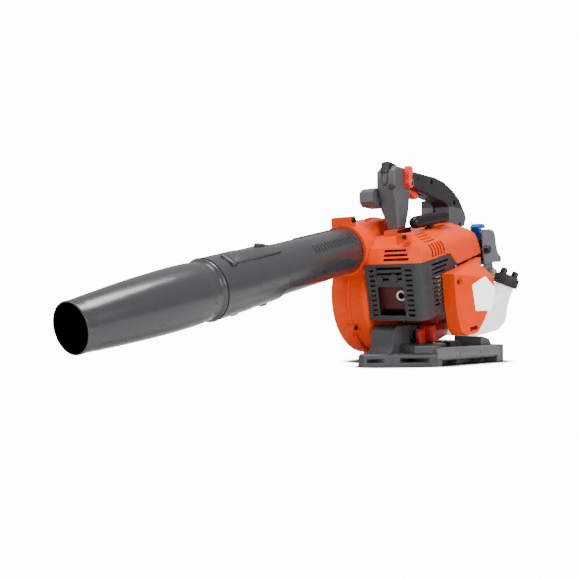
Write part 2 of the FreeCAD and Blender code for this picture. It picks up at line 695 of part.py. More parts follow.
def make_guard():
    side = -S.guard_side
    body = new_body("Guard")
    far = SIDE - S.scroll_half - GAP
    block = pad(body, "XZ_Plane", side, far, loops=[guard_profile()])
    soften(body, block, 16, lambda e: at_level("y", side)(e) and at_level("x", -S.guard_front)(e))
    wall = S.guard_wall
    hollow = [(-S.guard_front + wall, S.guard_low + wall), (60, S.guard_low + wall), (60, S.guard_high + 9),
              (-S.guard_front + wall, S.guard_high + 9)]
    room = new_body("GuardRoom")
    room_end = pad(room, "XZ_Plane", side + wall, far + 1, loops=[hollow])
    soften(room, room_end, 13, lambda e: at_level("y", side + wall)(e) and at_level("x", wall - S.guard_front)(e))
    front_slots = []
    for step in range(10):
        low = S.guard_low + 8 + step * 8.4
        front_slots.append([(-26, low), (-14, low), (-14, low + 3.6), (-26, low + 3.6)])
        front_slots.append([(45, low), (54, low), (54, low + 3.6), (45, low + 3.6)])
    for step in range(3):
        low = S.guard_high - 9 - step * 9
        front_slots.append([(-8, low), (40, low), (40, low + 4), (-8, low + 4)])
    window = [(-8, S.guard_low + 9), (40, S.guard_low + 9), (40, S.guard_low + 58), (-8, S.guard_low + 58)]
    pocket(body, "YZ_Plane", -S.guard_front - 1, -S.guard_front + wall + 1, loops=front_slots + [window])
    side_slots = []
    for step in range(10):
        low = S.guard_low + 16 + step * 7.6
        end = -30 if step < 7 else -18 + 9 * (step - 7)
        side_slots.append([(-66, low), (end, low), (end, low + 3.4), (-66, low + 3.4)])
    pocket(body, "XZ_Plane", side - 1, side + wall + 1, loops=side_slots)
    wheel_clear = rod(S.flywheel_radius + 0.8, (0, -40.6, 0), 60)
    case_clear = rod(36 + GAP, (0, SIDE - S.scroll_half - 7, 0), 12)
    screw_hole = rod(2.2, (STARTER_SCREW[0], -50, STARTER_SCREW[1]), 20)
    duct_clear = rod(DUCT_OUTER + 2 + 2 * GAP, (RIM - 40, SIDE, UP), 102, "x")
    node("muffler_guard", cut(body, room, wheel_clear, case_clear, screw_hole, duct_clear))
    bolts = [screw_shape((-S.muffler_front, y, 50), "x", 2.1, S.muffler_front - 20, 4.4, 3.5) for y in (-9, 9)]
    node("muffler_bolts", compound(bolts))


FRONT_SEAT = S.deck_up + 8
REAR_SEAT = 91


def cover_section(inset):
    """Cross section of the engine cover, seen along the tool, from its near skirt to the housing."""
    i = as_dim(inset)
    side, far = -S.cover_side + i, SIDE - S.scroll_half - GAP
    return [(side, 20), (far, 20), (far, S.deck_up - i), (-6, S.deck_up - i), (side + 9, S.deck_up - i - 16),
            (side, S.deck_up - i - 28)]


COVER_FRONT, COVER_REAR = -104, 141


def cover_outline(drop, skin):
    """Side outline of the engine cover. The hollow's outline stands in by the skin and runs out below."""
    low = S.guard_high + GAP - drop
    return [(COVER_FRONT + skin, low), (-1, low), (9.5, low - 2), (34, 44.5 - drop), (COVER_REAR + drop, 47 - drop),
            (COVER_REAR - 4 + drop, 62), (COVER_REAR - 15 - skin, 84), (COVER_REAR - 25 - skin, 98),
            (COVER_REAR - 42 - skin, S.deck_up + 1), (-60 + skin / 2, S.deck_up + 1), (-92 + skin, 94 - skin / 2)]


def make_cover():
    """Engine cover: a block with the cross section above, trimmed to its side outline and hollowed."""
    wall = float(S.cover_wall)
    skins = []
    for inset, drop in ((0, 0), (wall, 20)):
        section = new_body("CoverSection")
        shoulder = pad(section, "YZ_Plane", COVER_FRONT - 1, COVER_REAR + 30, loops=[cover_section(inset)])
        soften(section, shoulder, 22 - inset,
               lambda e: along("x")(e) and e.BoundBox.ZMin > 75 and e.BoundBox.YMax < 0)
        outline = new_body("CoverOutline")
        pad(outline, "XZ_Plane", -60, 80, loops=[cover_outline(drop, inset)])
        skins.append(common(section, outline))
    solid, inner = skins
    bulge_clear = rod(DUCT_OUTER + 2 * GAP, (RIM - 40, SIDE, UP), 102, "x")
    band_clear = rod(DUCT_OUTER + 2 + 2 * GAP, (RIM - 2, SIDE, UP), 10, "x")
    knuckle_clear = ball(DUCT_OUTER + 2 * GAP, (RIM + 62, SIDE, UP))
    louvres = []
    for step in range(3):
        louvres.append(slab((-110, -20 + 3 * step, 73 + 7 * step), (-88, 27, 77 + 7 * step)))
    for step in range(5):
        x = -62 + 11 * step
        louvres.append(slab((x, -50, 71), (x + 5.5, -30, 93)))
    for step in range(4):
        louvres.append(slab((-66 + 4 * step, -34 + 7 * step, 84), (-26 + 4 * step, -30.5 + 7 * step, 118)))
    eyelet = rod(4.5, (23, 0, 100), 20, "z")
    boss = rod(6.5, (-78, 4, 84), S.deck_up - 80, "z")
    far = SIDE - S.scroll_half - GAP
    seats = [slab((-64, 16, S.deck_up - 1), (-14, 42, FRONT_SEAT)),
             slab((90, 16, REAR_SEAT - 2.5), (176, far - 2, REAR_SEAT)),
             slab((90, 16, REAR_SEAT - 2), (110, far - 2, S.deck_up))]
    shell = cut(fuse(cut(solid, inner), boss, *seats), bulge_clear, band_clear, knuckle_clear, eyelet, *louvres)
    node("engine_cover", cut(shell, rod(2.2, (-78, 4, 60), 80, "z"), rod(3.4, (-78, 4, S.deck_up), 8, "z")))
    lathe("rope_guide", [(-4, 2.4), (1, 2.4), (3, 4), (3, 7), (0.3, 7), (0.3, 4.2), (-4, 4.2)],
          (23, 0, S.deck_up), "z")


# ---- starter ----------------------------------------------------------------------------

def starter_outline(inset):
    """Anticlockwise outline of the starter cover against the engine."""
    i = as_dim(inset)
    return [(-12, -75 + i), (14, -75 + i), (34, -56 + i), (70 - i, -6), (112 - i, 12), (118 - i, 43 - i),
            (-31 + i, 37 - i), (-32 + i, -20), (-26 + i, -62)]


def starter_block(inset, back):
    """The starter cover's solid: an outline cut by a face that stands further out at the rear."""
    outline = new_body("StarterOutline")
    pad(outline, "XZ_Plane", -100, back, loops=[starter_outline(inset)])
    i = as_dim(inset)
    plan = new_body("StarterPlan")
    pad(plan, "XY_Plane", -90, 60, loops=[[(-40, 0), (-40, -62 + i), (-30, -66 + i), (66, -96 + i),
                                          (74 - i, -92 + i), (80 - i, -62), (130, -50), (130, 0)]])
    facet = new_body("StarterFacet")
    pad(facet, "YZ_Plane", -60, 140, loops=[[(0, -90), (-70, -90), (-100, -60), (-100, 8),
                                            (-60 + i, 41 - i), (-46, 60), (0, 60)]])
    return common(common(outline, plan), facet)


def make_starter():
    wall = 3
    back = -S.guard_side - GAP
    shell = cut(starter_block(0, back), starter_block(wall, as_dim(back) + 1))
    post = rod(5, (0, -74, 0), 21)
    x, z = STARTER_SCREW
    recess = fuse(rod(5, (x, -90, z), 28), rod(8, (x, -90, z), 21.5))
    cup = fuse(rod(6.2, (x, -76, z), 76 + back), rod(9.8, (x, -78, z), 12))
    screw_hole = rod(2.2, (x, -90, z), 50)
    slot = slab((-4, -100, -69), (16, -60, -62))
    node("starter_cover", cut(fuse(shell, post, common(cup, starter_block(0, back))), recess, screw_hole, slot))
    groove = S.pulley_radius - 5
    lathe("starter_pulley", [(-60, 5.05), (-52, 5.05), (-52, S.pulley_radius), (-53.5, S.pulley_radius),
                             (-54.5, groove), (-57.5, groove), (-58.5, S.pulley_radius), (-60, S.pulley_radius)])
    spring = [cut(rod(radius + 0.8, (0, -65.5, 0), 5), rod(radius, (0, -66, 0), 6)) for radius in (8, 11, 14, 17)]
    links = slab((8.2, -65.5, -0.6), (17.5, -60.5, 0.6))
    node("recoil_spring", fuse(links, *spring))
    body = new_body("PullHandle")
    half = S.pull_length / 2
    outline = [(-half, -8), (-half + 12, -12), (half - 12, -12), (half, -8), (half, 4), (half - 16, 12),
               (-half + 16, 12), (-half, 5)]
    block = pad(body, "XZ_Plane", -11, 11, loops=[outline])
    soften(body, block, 6, lambda e: at_level("y", -11)(e) or at_level("y", 11)(e))
    own = FreeCAD.Placement(V(23, -4, float(S.deck_up) + 15.5), FreeCAD.Rotation(V(0, 0, 1), -10))
    node("starter_handle", body, TOOL, own)


def rope_points():
    """From the pulley's groove, up past the flywheel, through the guide to the pull handle."""
    top = float(S.deck_up)
    drum = float(S.pulley_radius) - 5 + float(S.rope_radius) + 0.5
    return [V(drum, -56, 0), V(30, -54, 20), V(38, -42, 31), V(38, -34, 48), V(33, -24, 84), V(26, -12, top - 16),
            V(23, 0, top - 9), V(23, 0, top + 3)]


def rounded_path(points):
    """Straight runs joined by tangent arcs, each as large as its two runs allow."""
    edges = []
    last = points[0]
    for before, corner, after in zip(points, points[1:], points[2:]):
        inward, outward = (before - corner), (after - corner)
        turn = math.pi - inward.getAngle(outward)
        reach = 0.42 * min(inward.Length, outward.Length)
        a = corner + inward.normalize() * reach
        b = corner + outward.normalize() * reach
        bisector = (inward + outward).normalize()
        radius = reach / math.tan(turn / 2)
        centre = corner + bisector * (radius / math.cos(turn / 2))
        middle = centre - bisector * radius
        edges += [Part.LineSegment(last, a).toShape(), Part.Arc(a, middle, b).toShape()]
        last = b
    edges.append(Part.LineSegment(last, points[-1]).toShape())
    return Part.Wire(edges)


def hose(label, points, radius, bore=0.0):
    """A round hose or rope along rounded straight runs; no sketch fits a path in space."""
    path = rounded_path(points)
    start = points[0]
    direction = points[1] - points[0]
    shape = swept(path, start, direction, float(radius))
    if bore:
        shape = shape.cut(swept(path, start, direction, float(bore)))
    thing = doc.addObject("Part::Feature", "Hose")
    thing.Shape = shape
    return node(label, thing)


def swept(path, start, direction, radius):
    ring = Part.Wire([Part.Circle(start, direction, radius).toShape()])
    return path.makePipeShell([ring], True, False)


# ---- intake and fuel --------------------------------------------------------------------

def make_intake():
    insulator = cut(slab((30, -13, 40), (52, 13, 62)), rod(5.5, (20, 0, 50), 60, "x"))
    node("intake_insulator", insulator)
    bore_up = 50
    carb = fuse(slab((52, -19, 34), (92, 19, 68)), rod(8, (66, -24, bore_up), 48),
                slab((56, -15, 27), (88, 15, 34)))
    node("carburettor", cut(carb, rod(8, (45, 0, bore_up), 60, "x"), rod(3.05, (66, -30, bore_up), 70)))
    shaft = fuse(rod(3, (66, -30, bore_up), 56), slab((64, -30, bore_up - 3), (68, -27, bore_up + 18)))
    disc = rod(7.6, (65.5, 0, bore_up), 1, "x")
    node("throttle_shaft", fuse(shaft, disc))
    plate = slab((92, -40, 12), (97, 42, 78))
    arm = fuse(slab((97, -43, 12), (196, -36, 20)), slab((178, -43, -10), (198, -33, 18)))
    post = slab((97, -40, 47), (155, -30, 57))
    press_room = rod(9.6, (188, -50, 2), 13)
    node("filter_base", cut(fuse(plate, arm, post), rod(8, (80, 0, bore_up), 30, "x"), press_room,
                            rod(2.6, (150, -60, 52), 24)))
    node("air_filter", cut(slab((97, -28, 22), (134, 34, 77)), rod(8, (90, 0, bore_up), 30, "x")))


def filter_outline(inset):
    """Side view of the filter cover, anticlockwise, with its nose over the fuel filler."""
    i = as_dim(inset)
    return [(S.filter_front, 24 + i), (196 - i, 22 + i), (226 - i, 16 + i), (230 - i, 26), (214 - i, 38 - i),
            (S.filter_rear + 1 - i, 52), (S.filter_rear - i, 66), (198 - i, 82 - i), (176, 88 - i),
            (S.filter_front, 88 - i)]


def make_filter_cover():
    body = new_body("FilterCover")
    block = pad(body, "XZ_Plane", -S.filter_side, S.filter_side - 6, loops=[filter_outline(0)])
    hollow = new_body("FilterHollow")
    pad(hollow, "XZ_Plane", -S.filter_side + 3, S.filter_side - 9, loops=[filter_outline(3)])
    opening = slab((S.filter_front - 1, -S.filter_side + 4, 28), (S.filter_front + 4, S.filter_side - 10, 84))
    soften(body, block, 4, lambda e: at_level("y", -S.filter_side)(e) and e.BoundBox.XMin > 206)
    knob_hole = rod(2.6, (150, -70, 52), 30)
    return body, hollow, opening, knob_hole


def make_rear_group():
    body, hollow, opening, knob_hole = make_filter_cover()
    lever_slot = slab((142, -44, 80), (176, -18, 92))
    node("filter_cover", cut(body, hollow, opening, knob_hole, lever_slot))
    knob = [(-9, 0), (12, 0), (12, 2.5), (-0.3, 2.5), (-0.3, 8), (-9, 7)]
    lathe("filter_knob", knob, (150, -S.filter_side, 52))
    lever = new_body("Choke")
    outline = [(156, 70), (165, 70), (165, 90), (186, 90), (182, 97), (162, 101), (150, 96), (155, 84)]
    pad(lever, "XZ_Plane", -40, -22, loops=[outline])
    node("choke_lever", cut(lever, rod(2.45, (160.5, -60, 74), 60)))
    lathe("purge_bulb", [(-11, 0), (-9.5, 5.5), (-5, 8.6), (0, 9), (0, 7.8), (-4.6, 7.6), (-9, 4.6), (-10, 0)],
          (188, -42.6, 2))


def make_tank():
    """Fuel tank under the starter, with a filler neck that leans out to the rear near side."""
    profile = [(22, -84), (118, -96), (146, -90), (160, -78), (165, -58), (158, -34), (60, -34), (44, -48)]
    wall = S.tank_wall
    outer = new_body("Tank")
    block = pad(outer, "XZ_Plane", -80, 36, loops=[profile])
    soften(outer, block, 9, lambda e: at_level("y", -80)(e) or at_level("y", 36)(e))
    inner = new_body("TankHollow")
    small = [(28, -80), (118, -92), (144, -86), (156, -76), (161, -58), (155, -37), (62, -37), (48, -48)]
    pad(inner, "XZ_Plane", -80 + wall, 36 - wall, loops=[small])
    foot, lean = neck_start(), neck_axis()
    neck = rod(S.neck_radius, foot, 58, lean)
    root = rod(S.neck_radius + 7, [a - 12 * b for a, b in zip(foot, lean)], 34, lean, S.neck_radius)
    hole = rod(S.neck_radius - wall, foot, 60, lean)
    node("fuel_tank", cut(fuse(outer, neck, root), inner, hole))
    top = [a + 58 * b for a, b in zip(foot, lean)]
    skirt = S.cap_height
    lathe("fuel_cap", [(-skirt + 4, S.neck_radius + GAP), (GAP, S.neck_radius + GAP), (GAP, 0), (5, 0),
                       (5, S.cap_radius - 3), (3, S.cap_radius), (-skirt + 4, S.cap_radius)], top, lean)
    cap_blank = nodes["fuel_cap"]
    cap_blank.Label = "fuel_cap_blank"
    wings = []
    for side in (-1, 1):
        low, high = (S.cap_radius - 7, S.cap_radius) if side > 0 else (-S.cap_radius, 7 - S.cap_radius)
        wings.append(slab((4, -4, low), (13, 4, high)))
    cap = fuse(cap_copy(cap_blank), *wings)
    own = FreeCAD.Placement(V(*[float(v) for v in top]), FreeCAD.Rotation(V(1, 0, 0), lean))
    node("fuel_cap", cap, TOOL, own)
    lathe("cap_seal", ring_profile(0.02, 0.28, S.neck_radius - 2.5, S.neck_radius - 0.5), top, lean)


def cap_copy(blank):
    blank.Placement = LEVEL
    return blank


def neck_axis():
    return V(0.30, -0.36, 0.88).normalize()


def neck_start():
    return [160.0, -56.0, -60.0]


def make_hoses():
    hose("fuel_line", [V(70, 8, -33.7), V(72, 8, -10), V(74, 6, 14), V(74, 4, 26.8)], 2.4, 1.3)
    hose("starter_rope", rope_points(), S.rope_radius)
    ceiling = float(S.deck_up) - float(S.cover_wall) - float(GAP)
    hose("throttle_cable", [V(66, -22, 69), V(62, -27, 80), V(48, -29, 88), V(8, -29, 88), V(-24, -8, 92),
                            V(-34, 22, 97), V(-34, 30, ceiling - 2)], 2.2)


# ---- handle (level frame) ---------------------------------------------------------------

def handle_outline():
    top, low = S.grip_top, S.grip_low
    front_low = [(x, seat_height(FRONT_SEAT, x)) for x in (-72, -44)]
    rear_low = [(x, seat_height(REAR_SEAT, x)) for x in (137, 205)]
    return [front_low[0], front_low[1], (-34, 268), (-29, 296), (-29, low), (60, low - 9), (104, low - 12),
            (133, low - 20),
            rear_low[0], rear_low[1], (213, 278), (206, 290), (180, 313), (150, 328), (112, 339),
            (75, top), (-30, top - 1), (-36, top + 1), (-78, top + 1), (-90, top - 9), (-90, 304), (-80, 284)]


def seat_height(up, x):
    """Height above the floor of a seat on the tilted tool, at a level X."""
    tilt = math.radians(float(S.tool_tilt))
    run = (x + float(up) * math.sin(tilt)) / math.cos(tilt)
    return float(S.crank_height) + run * math.sin(tilt) + float(up) * math.cos(tilt)


def make_handle():
    near = S.handle_near
    half = S.handle_half
    split = near + half
    body = new_body("HandleNear")
    near_face = pad(body, "XZ_Plane", near, split - 0.05, loops=[handle_outline()])
    soften(body, near_face, 6, lambda e: at_level("y", near)(e))
    bay = [(-66, 272), (-36, 272), (-32, 300), (-24, S.grip_low + 3), (44, S.grip_low), (44, S.grip_top - 6),
           (-60, S.grip_top - 6)]
    bay_near = new_body("HandleBay")
    pad(bay_near, "XZ_Plane", near + 5, near + 2 * half - 5, loops=[bay])
    slots = handle_slots(near)
    pins = [rod(2.5, (x, near - 5, z), 60) for x, z in ((-2, 330), CRUISE_PIVOT)]
    holes = [rod(2.2, (x, near - 5, z), 60) for x, z in HANDLE_SCREWS]
    heads = [rod(4.6, (x, near - 1, z), 9) for x, z in HANDLE_SCREWS]
    node("handle_engine_side", cut(body, bay_near, *slots, *pins, *holes, *heads), LEVEL)
    other = new_body("HandleFar")
    far_face = pad(other, "XZ_Plane", split + 0.05, near + 2 * half, loops=[handle_outline()])
    soften(other, far_face, 6, lambda e: at_level("y", near + 2 * half)(e))
    taper = new_body("HandleTaper")
    pad(taper, "YZ_Plane", -110, -28, loops=[[(37, 230), (70, 230), (70, 282), (58, 282)]])
    box = new_body("HandleBox")
    pad(box, "XZ_Plane", near + 2 * half - 1, near + 62,
                    loops=[[(-92, 274), (-58, 274), (-52, 280), (-52, 300), (-60, 306), (-92, 306), (-102, 298),
                 (-102, 282)]])
    rear_box = slab((130, near + 2 * half - 1, 260), (196, near + 60, 308))
    node("handle_fan_side", cut(fuse(cut(other, taper), box, rear_box), bay_near, *slots, *pins, *holes), LEVEL)


CRUISE_PIVOT = (-45, 316)
HANDLE_SCREWS = ((54, 331), (153, 303), (178, 262))


def handle_slots(near):
    """Openings for the trigger and the stop button."""
    middle = near + S.handle_half
    return [slab((-34, middle - 8, 284), (42, middle + 8, 322)),
            slab((-90.4, middle - 7.9, 330), (-69.6, middle + 7.9, 352))]


def make_body_screws():
    """One kind of screw: through the handle, the crankcase halves, the starter cover and the engine cover."""
    near = S.handle_near
    level = [screw_shape((x, near + 8, z), "y", 2.1, 22, 4.4, 3.5) for x, z in HANDLE_SCREWS]
    tool = [screw_shape((x, -S.case_half, z), "y", 2.1, 40, 4, 2.4) for x, z in CASE_BOLTS]
    tool.append(screw_shape((STARTER_SCREW[0], -62, STARTER_SCREW[1]), "y", 2.1, 21.6, 4.4, 3.5))
    tool.append(screw_shape((-78, 4, S.deck_up + 0.5), V(0, 0, -1), 2.1, 22, 3.2, 3))
    tilted = compound(tool)
    tilted.Placement = TOOL
    node("body_screws", compound(level + [tilted]), LEVEL)


def make_controls():
    near = S.handle_near
    middle = near + S.handle_half
    body = new_body("Trigger")
    shape = [(-7, 335), (-20, 326), (-22, 314), (-8, 306), (6, 297), (18, 296), (24, 302), (20, 311), (6, 320),
             (4, 333.5), (-2, 335.5)]
    pad(body, "XZ_Plane", middle - 6.5, middle + 6.5, loops=[shape])
    node("throttle_trigger", cut(body, rod(2.55, (-2, near, 330), 60)), LEVEL)
    lever = new_body("Cruise")
    x, z = CRUISE_PIVOT
    arm = [(x - 7, z - 2), (x + 6, z - 2), (x + 4, z + 12), (x + 8, z + 20), (x + 6, z + 29), (x - 7, z + 30),
           (x - 10, z + 22), (x - 8, z + 12)]
    pad(lever, "XZ_Plane", near - 9, near - GAP, loops=[arm])
    pad(lever, "XZ_Plane", near - 8, near - GAP, circles=[(x, z, 8)])
    node("cruise_lever", cut(lever, rod(2.55, (x, near - 12, z), 40)), LEVEL)
    choke_pin = doc.addObject("Part::Compound", "ChokePin")
    choke_pin.Links = [rod(2.4, (160.5, -47, 74), 37)]
    choke_pin.Placement = TOOL
    cruise_pin = fuse(rod(2.5, (x, near - 10.5, z), 24), rod(4.6, (x, near - 11.5, z), 2.2))
    node("lever_pins", compound([rod(2.5, (-2, middle - 14, 330), 28), cruise_pin, choke_pin]), LEVEL)
    key = slab((-90, middle - 7.5, 333), (-70, middle + 7.5, 349))
    ribs = [slab((-88 + 6 * step, middle - 6.5, 348), (-86 + 6 * step, middle + 6.5, 350.5)) for step in range(3)]
    node("stop_button", fuse(key, *ribs), LEVEL)


# ---- base (level frame) -----------------------------------------------------------------

def make_base():
    top = S.base_top
    far_edge = SIDE - S.scroll_half - 2
    foot = new_body("BaseFoot")
    plan = [(-142, 50), (-84, -14), (-50, -42), (-34, -42), (-22, -28), (34, -28), (34, far_edge), (-142, far_edge)]
    foot_top = pad(foot, "XY_Plane", 0, top, loops=[plan])
    soften(foot, foot_top, 6, lambda e: at_level("z", top)(e))
    shelf = new_body("BaseShelf")
    shelf_top = pad(shelf, "XY_Plane", top - 2, top + 14,
                    loops=[[(-78, -12), (-49, -38), (-35, -38), (-25, -24), (20, -24), (20, 18), (-78, 18)]])
    soften(shelf, shelf_top, 4, lambda e: at_level("z", top + 14)(e))
    pedestal = new_body("BasePedestal")
    side_view = [(-112, top - 1), (30, top - 1), (16, 35), (-8, 37), (-12, S.block_top), (-88, S.block_top),
                 (-100, S.block_top - 8), (-100, 34)]
    pad(pedestal, "XZ_Plane", 16, far_edge, loops=[side_view])
    arch = new_body("BaseArch")
    arch_view = [(84, 0), (137, 0), (137, 26), (124, 40), (92, 46), (84, 46)]
    pad(arch, "XZ_Plane", -62, -10, loops=[arch_view])
    rear_rail = slab((106, -84, 0), (137, 130, 14))
    near_rail = slab((20, -44, 0), (137, -28, 14))
    far_foot = slab((60, 108, 0), (137, 140, 10))
    tail = slab((112, -84, 0), (137, -44, 30))
    boss = rod(13, (-30, 12, 52), 24)
    spring_hole = rod(8, (-30, 0, 52), 26)
    slots = [slab((-138, 22, 7), (-118, 60, 13)), slab((-100, -40, 7), (-62, 6, 14))]
    bar_seat = rod(S.bar_radius + GAP, BAR_START, 170.3, bar_axis())
    cradle = slab((30, -28, 0), (84, 24, 38))
    solid = fuse(foot, shelf, cradle, pedestal, arch, rear_rail, near_rail, far_foot, tail, boss)
    node("base_frame", cut(solid, spring_hole, slots[0], slots[1], bar_seat), LEVEL)
    bar = rod(S.bar_radius, BAR_START, 170, bar_axis())
    holes = [rod(1.6, (x, -90, BAR_START[2]), 80) for x in (3, 57)]
    node("base_bar", cut(bar, *holes), LEVEL)


BAR_START = (-50, -32, 19.5)


def bar_axis():
    return V(166, -46, 0).normalize()


def make_bracket():
    """Arm under the crankcase that carries the engine on the rubber mounts."""
    start = SIDE - S.scroll_half - GAP
    beam = slab((-8, -30, -66), (30, start, -54))
    wall = slab((-8, start - 8, -84), (66, start, -30))
    neck = slab((-16, -20, -54), (16, 20, -28))
    ear = fuse(slab((-36, -14, -80), (-14, 6, -54)), slab((-16, -20, -66), (0, 12, -54)))
    clear = rod(S.case_radius + 0.05, (0, -40, 0), 110)
    flange_clear = rod(36 + GAP, (0, start - 10, 0), 20)
    node("engine_bracket", cut(fuse(beam, wall, neck, ear), clear, flange_clear))


def make_mounts():
    bushes = [rod(8, (-9, -4, S.base_top + 14), 26.7 - S.base_top, "z"), rod(7, (92, -37, 46), 5.4, "z")]
    node("rubber_mounts", compound(bushes), LEVEL)


def make_badge():
    """Plain five-sided plate, level, on the starter cover's slanted face."""
    body = new_body("Badge")
    pad(body, "XZ_Plane", -0.9, 0, loops=[[(-31, 15), (-18, -30), (23, -29), (31, 11.5), (1.7, 31)]])
    slope = math.degrees(math.atan2(30, 96))
    turn = FreeCAD.Rotation(V(0, 0, 1), -slope).multiply(FreeCAD.Rotation(V(0, 1, 0), float(S.tool_tilt)))
    x = 36
    own = FreeCAD.Placement(V(x, -66 - (x + 30) * 30 / 96 - 0.05, -10.5), turn)
    node("badge_plate", body, TOOL, own)


make_housing()
make_inlet_grille()
make_impeller()
make_tube()
make_air_fasteners()
make_crankcase()
make_crank_train()
make_cylinder()
make_flywheel()
make_exhaust()
make_guard()
make_cover()
make_starter()
make_intake()
make_rear_group()
make_tank()
make_hoses()
make_handle()
make_body_screws()
make_controls()
make_base()
make_bracket()
make_mounts()
make_badge()

doc.recompute()
faults = []
for thing in doc.Objects:
    if "Invalid" in thing.State or "Error" in thing.State:
        faults.append("%s (%s): %s" % (thing.Name, thing.Label, thing.State))
for label, piece in nodes.items():
    if piece.Shape.isNull() or not piece.Shape.isValid():
        faults.append(label + ": no valid shape")
    elif len(piece.Shape.Solids) == 0:
        faults.append(label + ": no solid")
if faults:
    raise RuntimeError("; ".join(faults))

os.makedirs("parts", exist_ok=True)
for label, piece in nodes.items():
    piece.Shape.exportStep("parts/%s.step" % label)
    box = piece.Shape.BoundBox
    print("%-26s solids %2d  X %7.1f..%7.1f Y %7.1f..%7.1f Z %7.1f..%7.1f  vol %10.1f" % (
        label, len(piece.Shape.Solids), box.XMin, box.XMax, box.YMin, box.YMax, box.ZMin, box.ZMax,
        piece.Shape.Volume))
print(len(nodes), "nodes")
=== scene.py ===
import bpy
import json
import math
from mathutils import Matrix, Vector


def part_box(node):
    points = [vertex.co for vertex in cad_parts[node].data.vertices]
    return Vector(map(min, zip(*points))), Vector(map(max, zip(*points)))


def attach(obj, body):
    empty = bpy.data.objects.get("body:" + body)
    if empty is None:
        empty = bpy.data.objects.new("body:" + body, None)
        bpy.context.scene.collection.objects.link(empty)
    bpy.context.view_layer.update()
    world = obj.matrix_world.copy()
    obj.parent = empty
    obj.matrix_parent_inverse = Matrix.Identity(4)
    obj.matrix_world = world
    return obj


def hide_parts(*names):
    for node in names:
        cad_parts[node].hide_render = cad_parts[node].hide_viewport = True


# %% [markdown]
# # A hand-held petrol leaf blower
# The blower stands on a grey base. A fan housing in orange plastic pushes air down a telescopic
# dark tube to a tapered nozzle. The engine sits on the near side of the fan, with a guard over
# the muffler, an orange cover over the cylinder, a pull starter, a translucent tank, and a
# looped handle above. The frame from the solid model brings most pieces in their places, so the
# steps here give them their finish, and add or replace a few pieces that need more shape.

# %% load the frame
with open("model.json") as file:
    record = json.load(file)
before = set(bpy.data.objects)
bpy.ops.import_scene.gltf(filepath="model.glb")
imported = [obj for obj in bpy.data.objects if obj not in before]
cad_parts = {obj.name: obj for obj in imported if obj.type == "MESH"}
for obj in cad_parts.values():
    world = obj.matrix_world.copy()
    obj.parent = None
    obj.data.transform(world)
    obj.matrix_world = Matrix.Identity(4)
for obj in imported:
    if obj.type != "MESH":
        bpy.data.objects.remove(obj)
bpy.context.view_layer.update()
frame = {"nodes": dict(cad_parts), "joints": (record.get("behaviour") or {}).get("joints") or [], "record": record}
nodes = frame["nodes"]
print("pieces in the frame:", len(nodes))

# %% [markdown]
# ## Camera, floor and lights
# The camera stands low in front of the nozzle, at the height of the tube, and looks almost level.
# A pale floor sweeps away under a white sky. One large soft lamp hangs overhead, a smaller one
# stands beyond the nozzle for the long highlights on the tube, and a broad fill lights the
# engine side.

# %% camera
CAMERA_PLACE = (-1.238, -0.6122, 0.112)
CAMERA_HEADING = math.atan2(0.5976, 0.8018)
CAMERA_TILT = math.radians(90.83)
bpy.ops.object.camera_add(location=CAMERA_PLACE)
camera = bpy.context.object
camera.data.lens = 47.5
camera.rotation_euler = (CAMERA_TILT, 0, CAMERA_HEADING - math.pi / 2)
camera.data.clip_start = 0.01
bpy.context.scene.camera = camera
print("camera", tuple(round(v, 3) for v in camera.location))


# %% floor and sky
def new_material(name):
    """A node material: its node tree, its shader, and the object coordinates."""
    material = bpy.data.materials.new(name)
    material.use_nodes = True
    tree = material.node_tree
    shader = tree.nodes["Principled BSDF"]
    place = tree.nodes.new("ShaderNodeTexCoord")
    return material, tree, shader, place.outputs["Object"]


bpy.ops.mesh.primitive_plane_add(size=60, location=(0, 0, -0.0005))
floor = bpy.context.object
floor.name = "studio_floor"
floor_paint, floor_tree, floor_shader = new_material("pale_floor")[:3]
floor_shader.inputs["Base Color"].default_value = (0.80, 0.80, 0.80, 1)
floor_shader.inputs["Roughness"].default_value = 0.7
floor.data.materials.append(floor_paint)


def seen_white(tree, socket, strength, painted_shadow=None):
    """What the camera sees directly is a lit white sweep, with a painted shadow in its colour where one is given;
    every other ray meets the plain surface.
    """
    glow = tree.nodes.new("ShaderNodeEmission")
    glow.inputs["Strength"].default_value = strength
    if painted_shadow:
        tree.links.new(painted_shadow, glow.inputs["Color"])
    path = tree.nodes.new("ShaderNodeLightPath")
    mix = tree.nodes.new("ShaderNodeMixShader")
    tree.links.new(path.outputs["Is Camera Ray"], mix.inputs["Fac"])
    tree.links.new(socket.links[0].from_socket, mix.inputs[1])
    tree.links.new(glow.outputs["Emission"], mix.inputs[2])
    tree.links.new(mix.outputs["Shader"], socket)


GLOW = 14.0
# Painted shadow: ambient occlusion near the base darkens the floor's glow through a ramp, a contact shadow.
shadow_occlusion = floor_tree.nodes.new("ShaderNodeAmbientOcclusion")
shadow_occlusion.samples = 16
shadow_occlusion.inputs["Distance"].default_value = 0.035
painted_contact_shadow = floor_tree.nodes.new("ShaderNodeValToRGB")
painted_contact_shadow.color_ramp.elements[0].position = 0.35
painted_contact_shadow.color_ramp.elements[0].color = (0.0005, 0.0005, 0.0005, 1)
painted_contact_shadow.color_ramp.elements[1].position = 0.97
painted_contact_shadow.color_ramp.elements[1].color = (1, 1, 1, 1)
for position, level in ((0.62, 0.006), (0.82, 0.06)):
    step = painted_contact_shadow.color_ramp.elements.new(position)
    step.color = (level, level, level, 1)
floor_tree.links.new(shadow_occlusion.outputs["AO"], painted_contact_shadow.inputs["Fac"])
floor_output = floor_tree.nodes["Material Output"].inputs["Surface"]
seen_white(floor_tree, floor_output, GLOW, painted_contact_shadow.outputs["Color"])

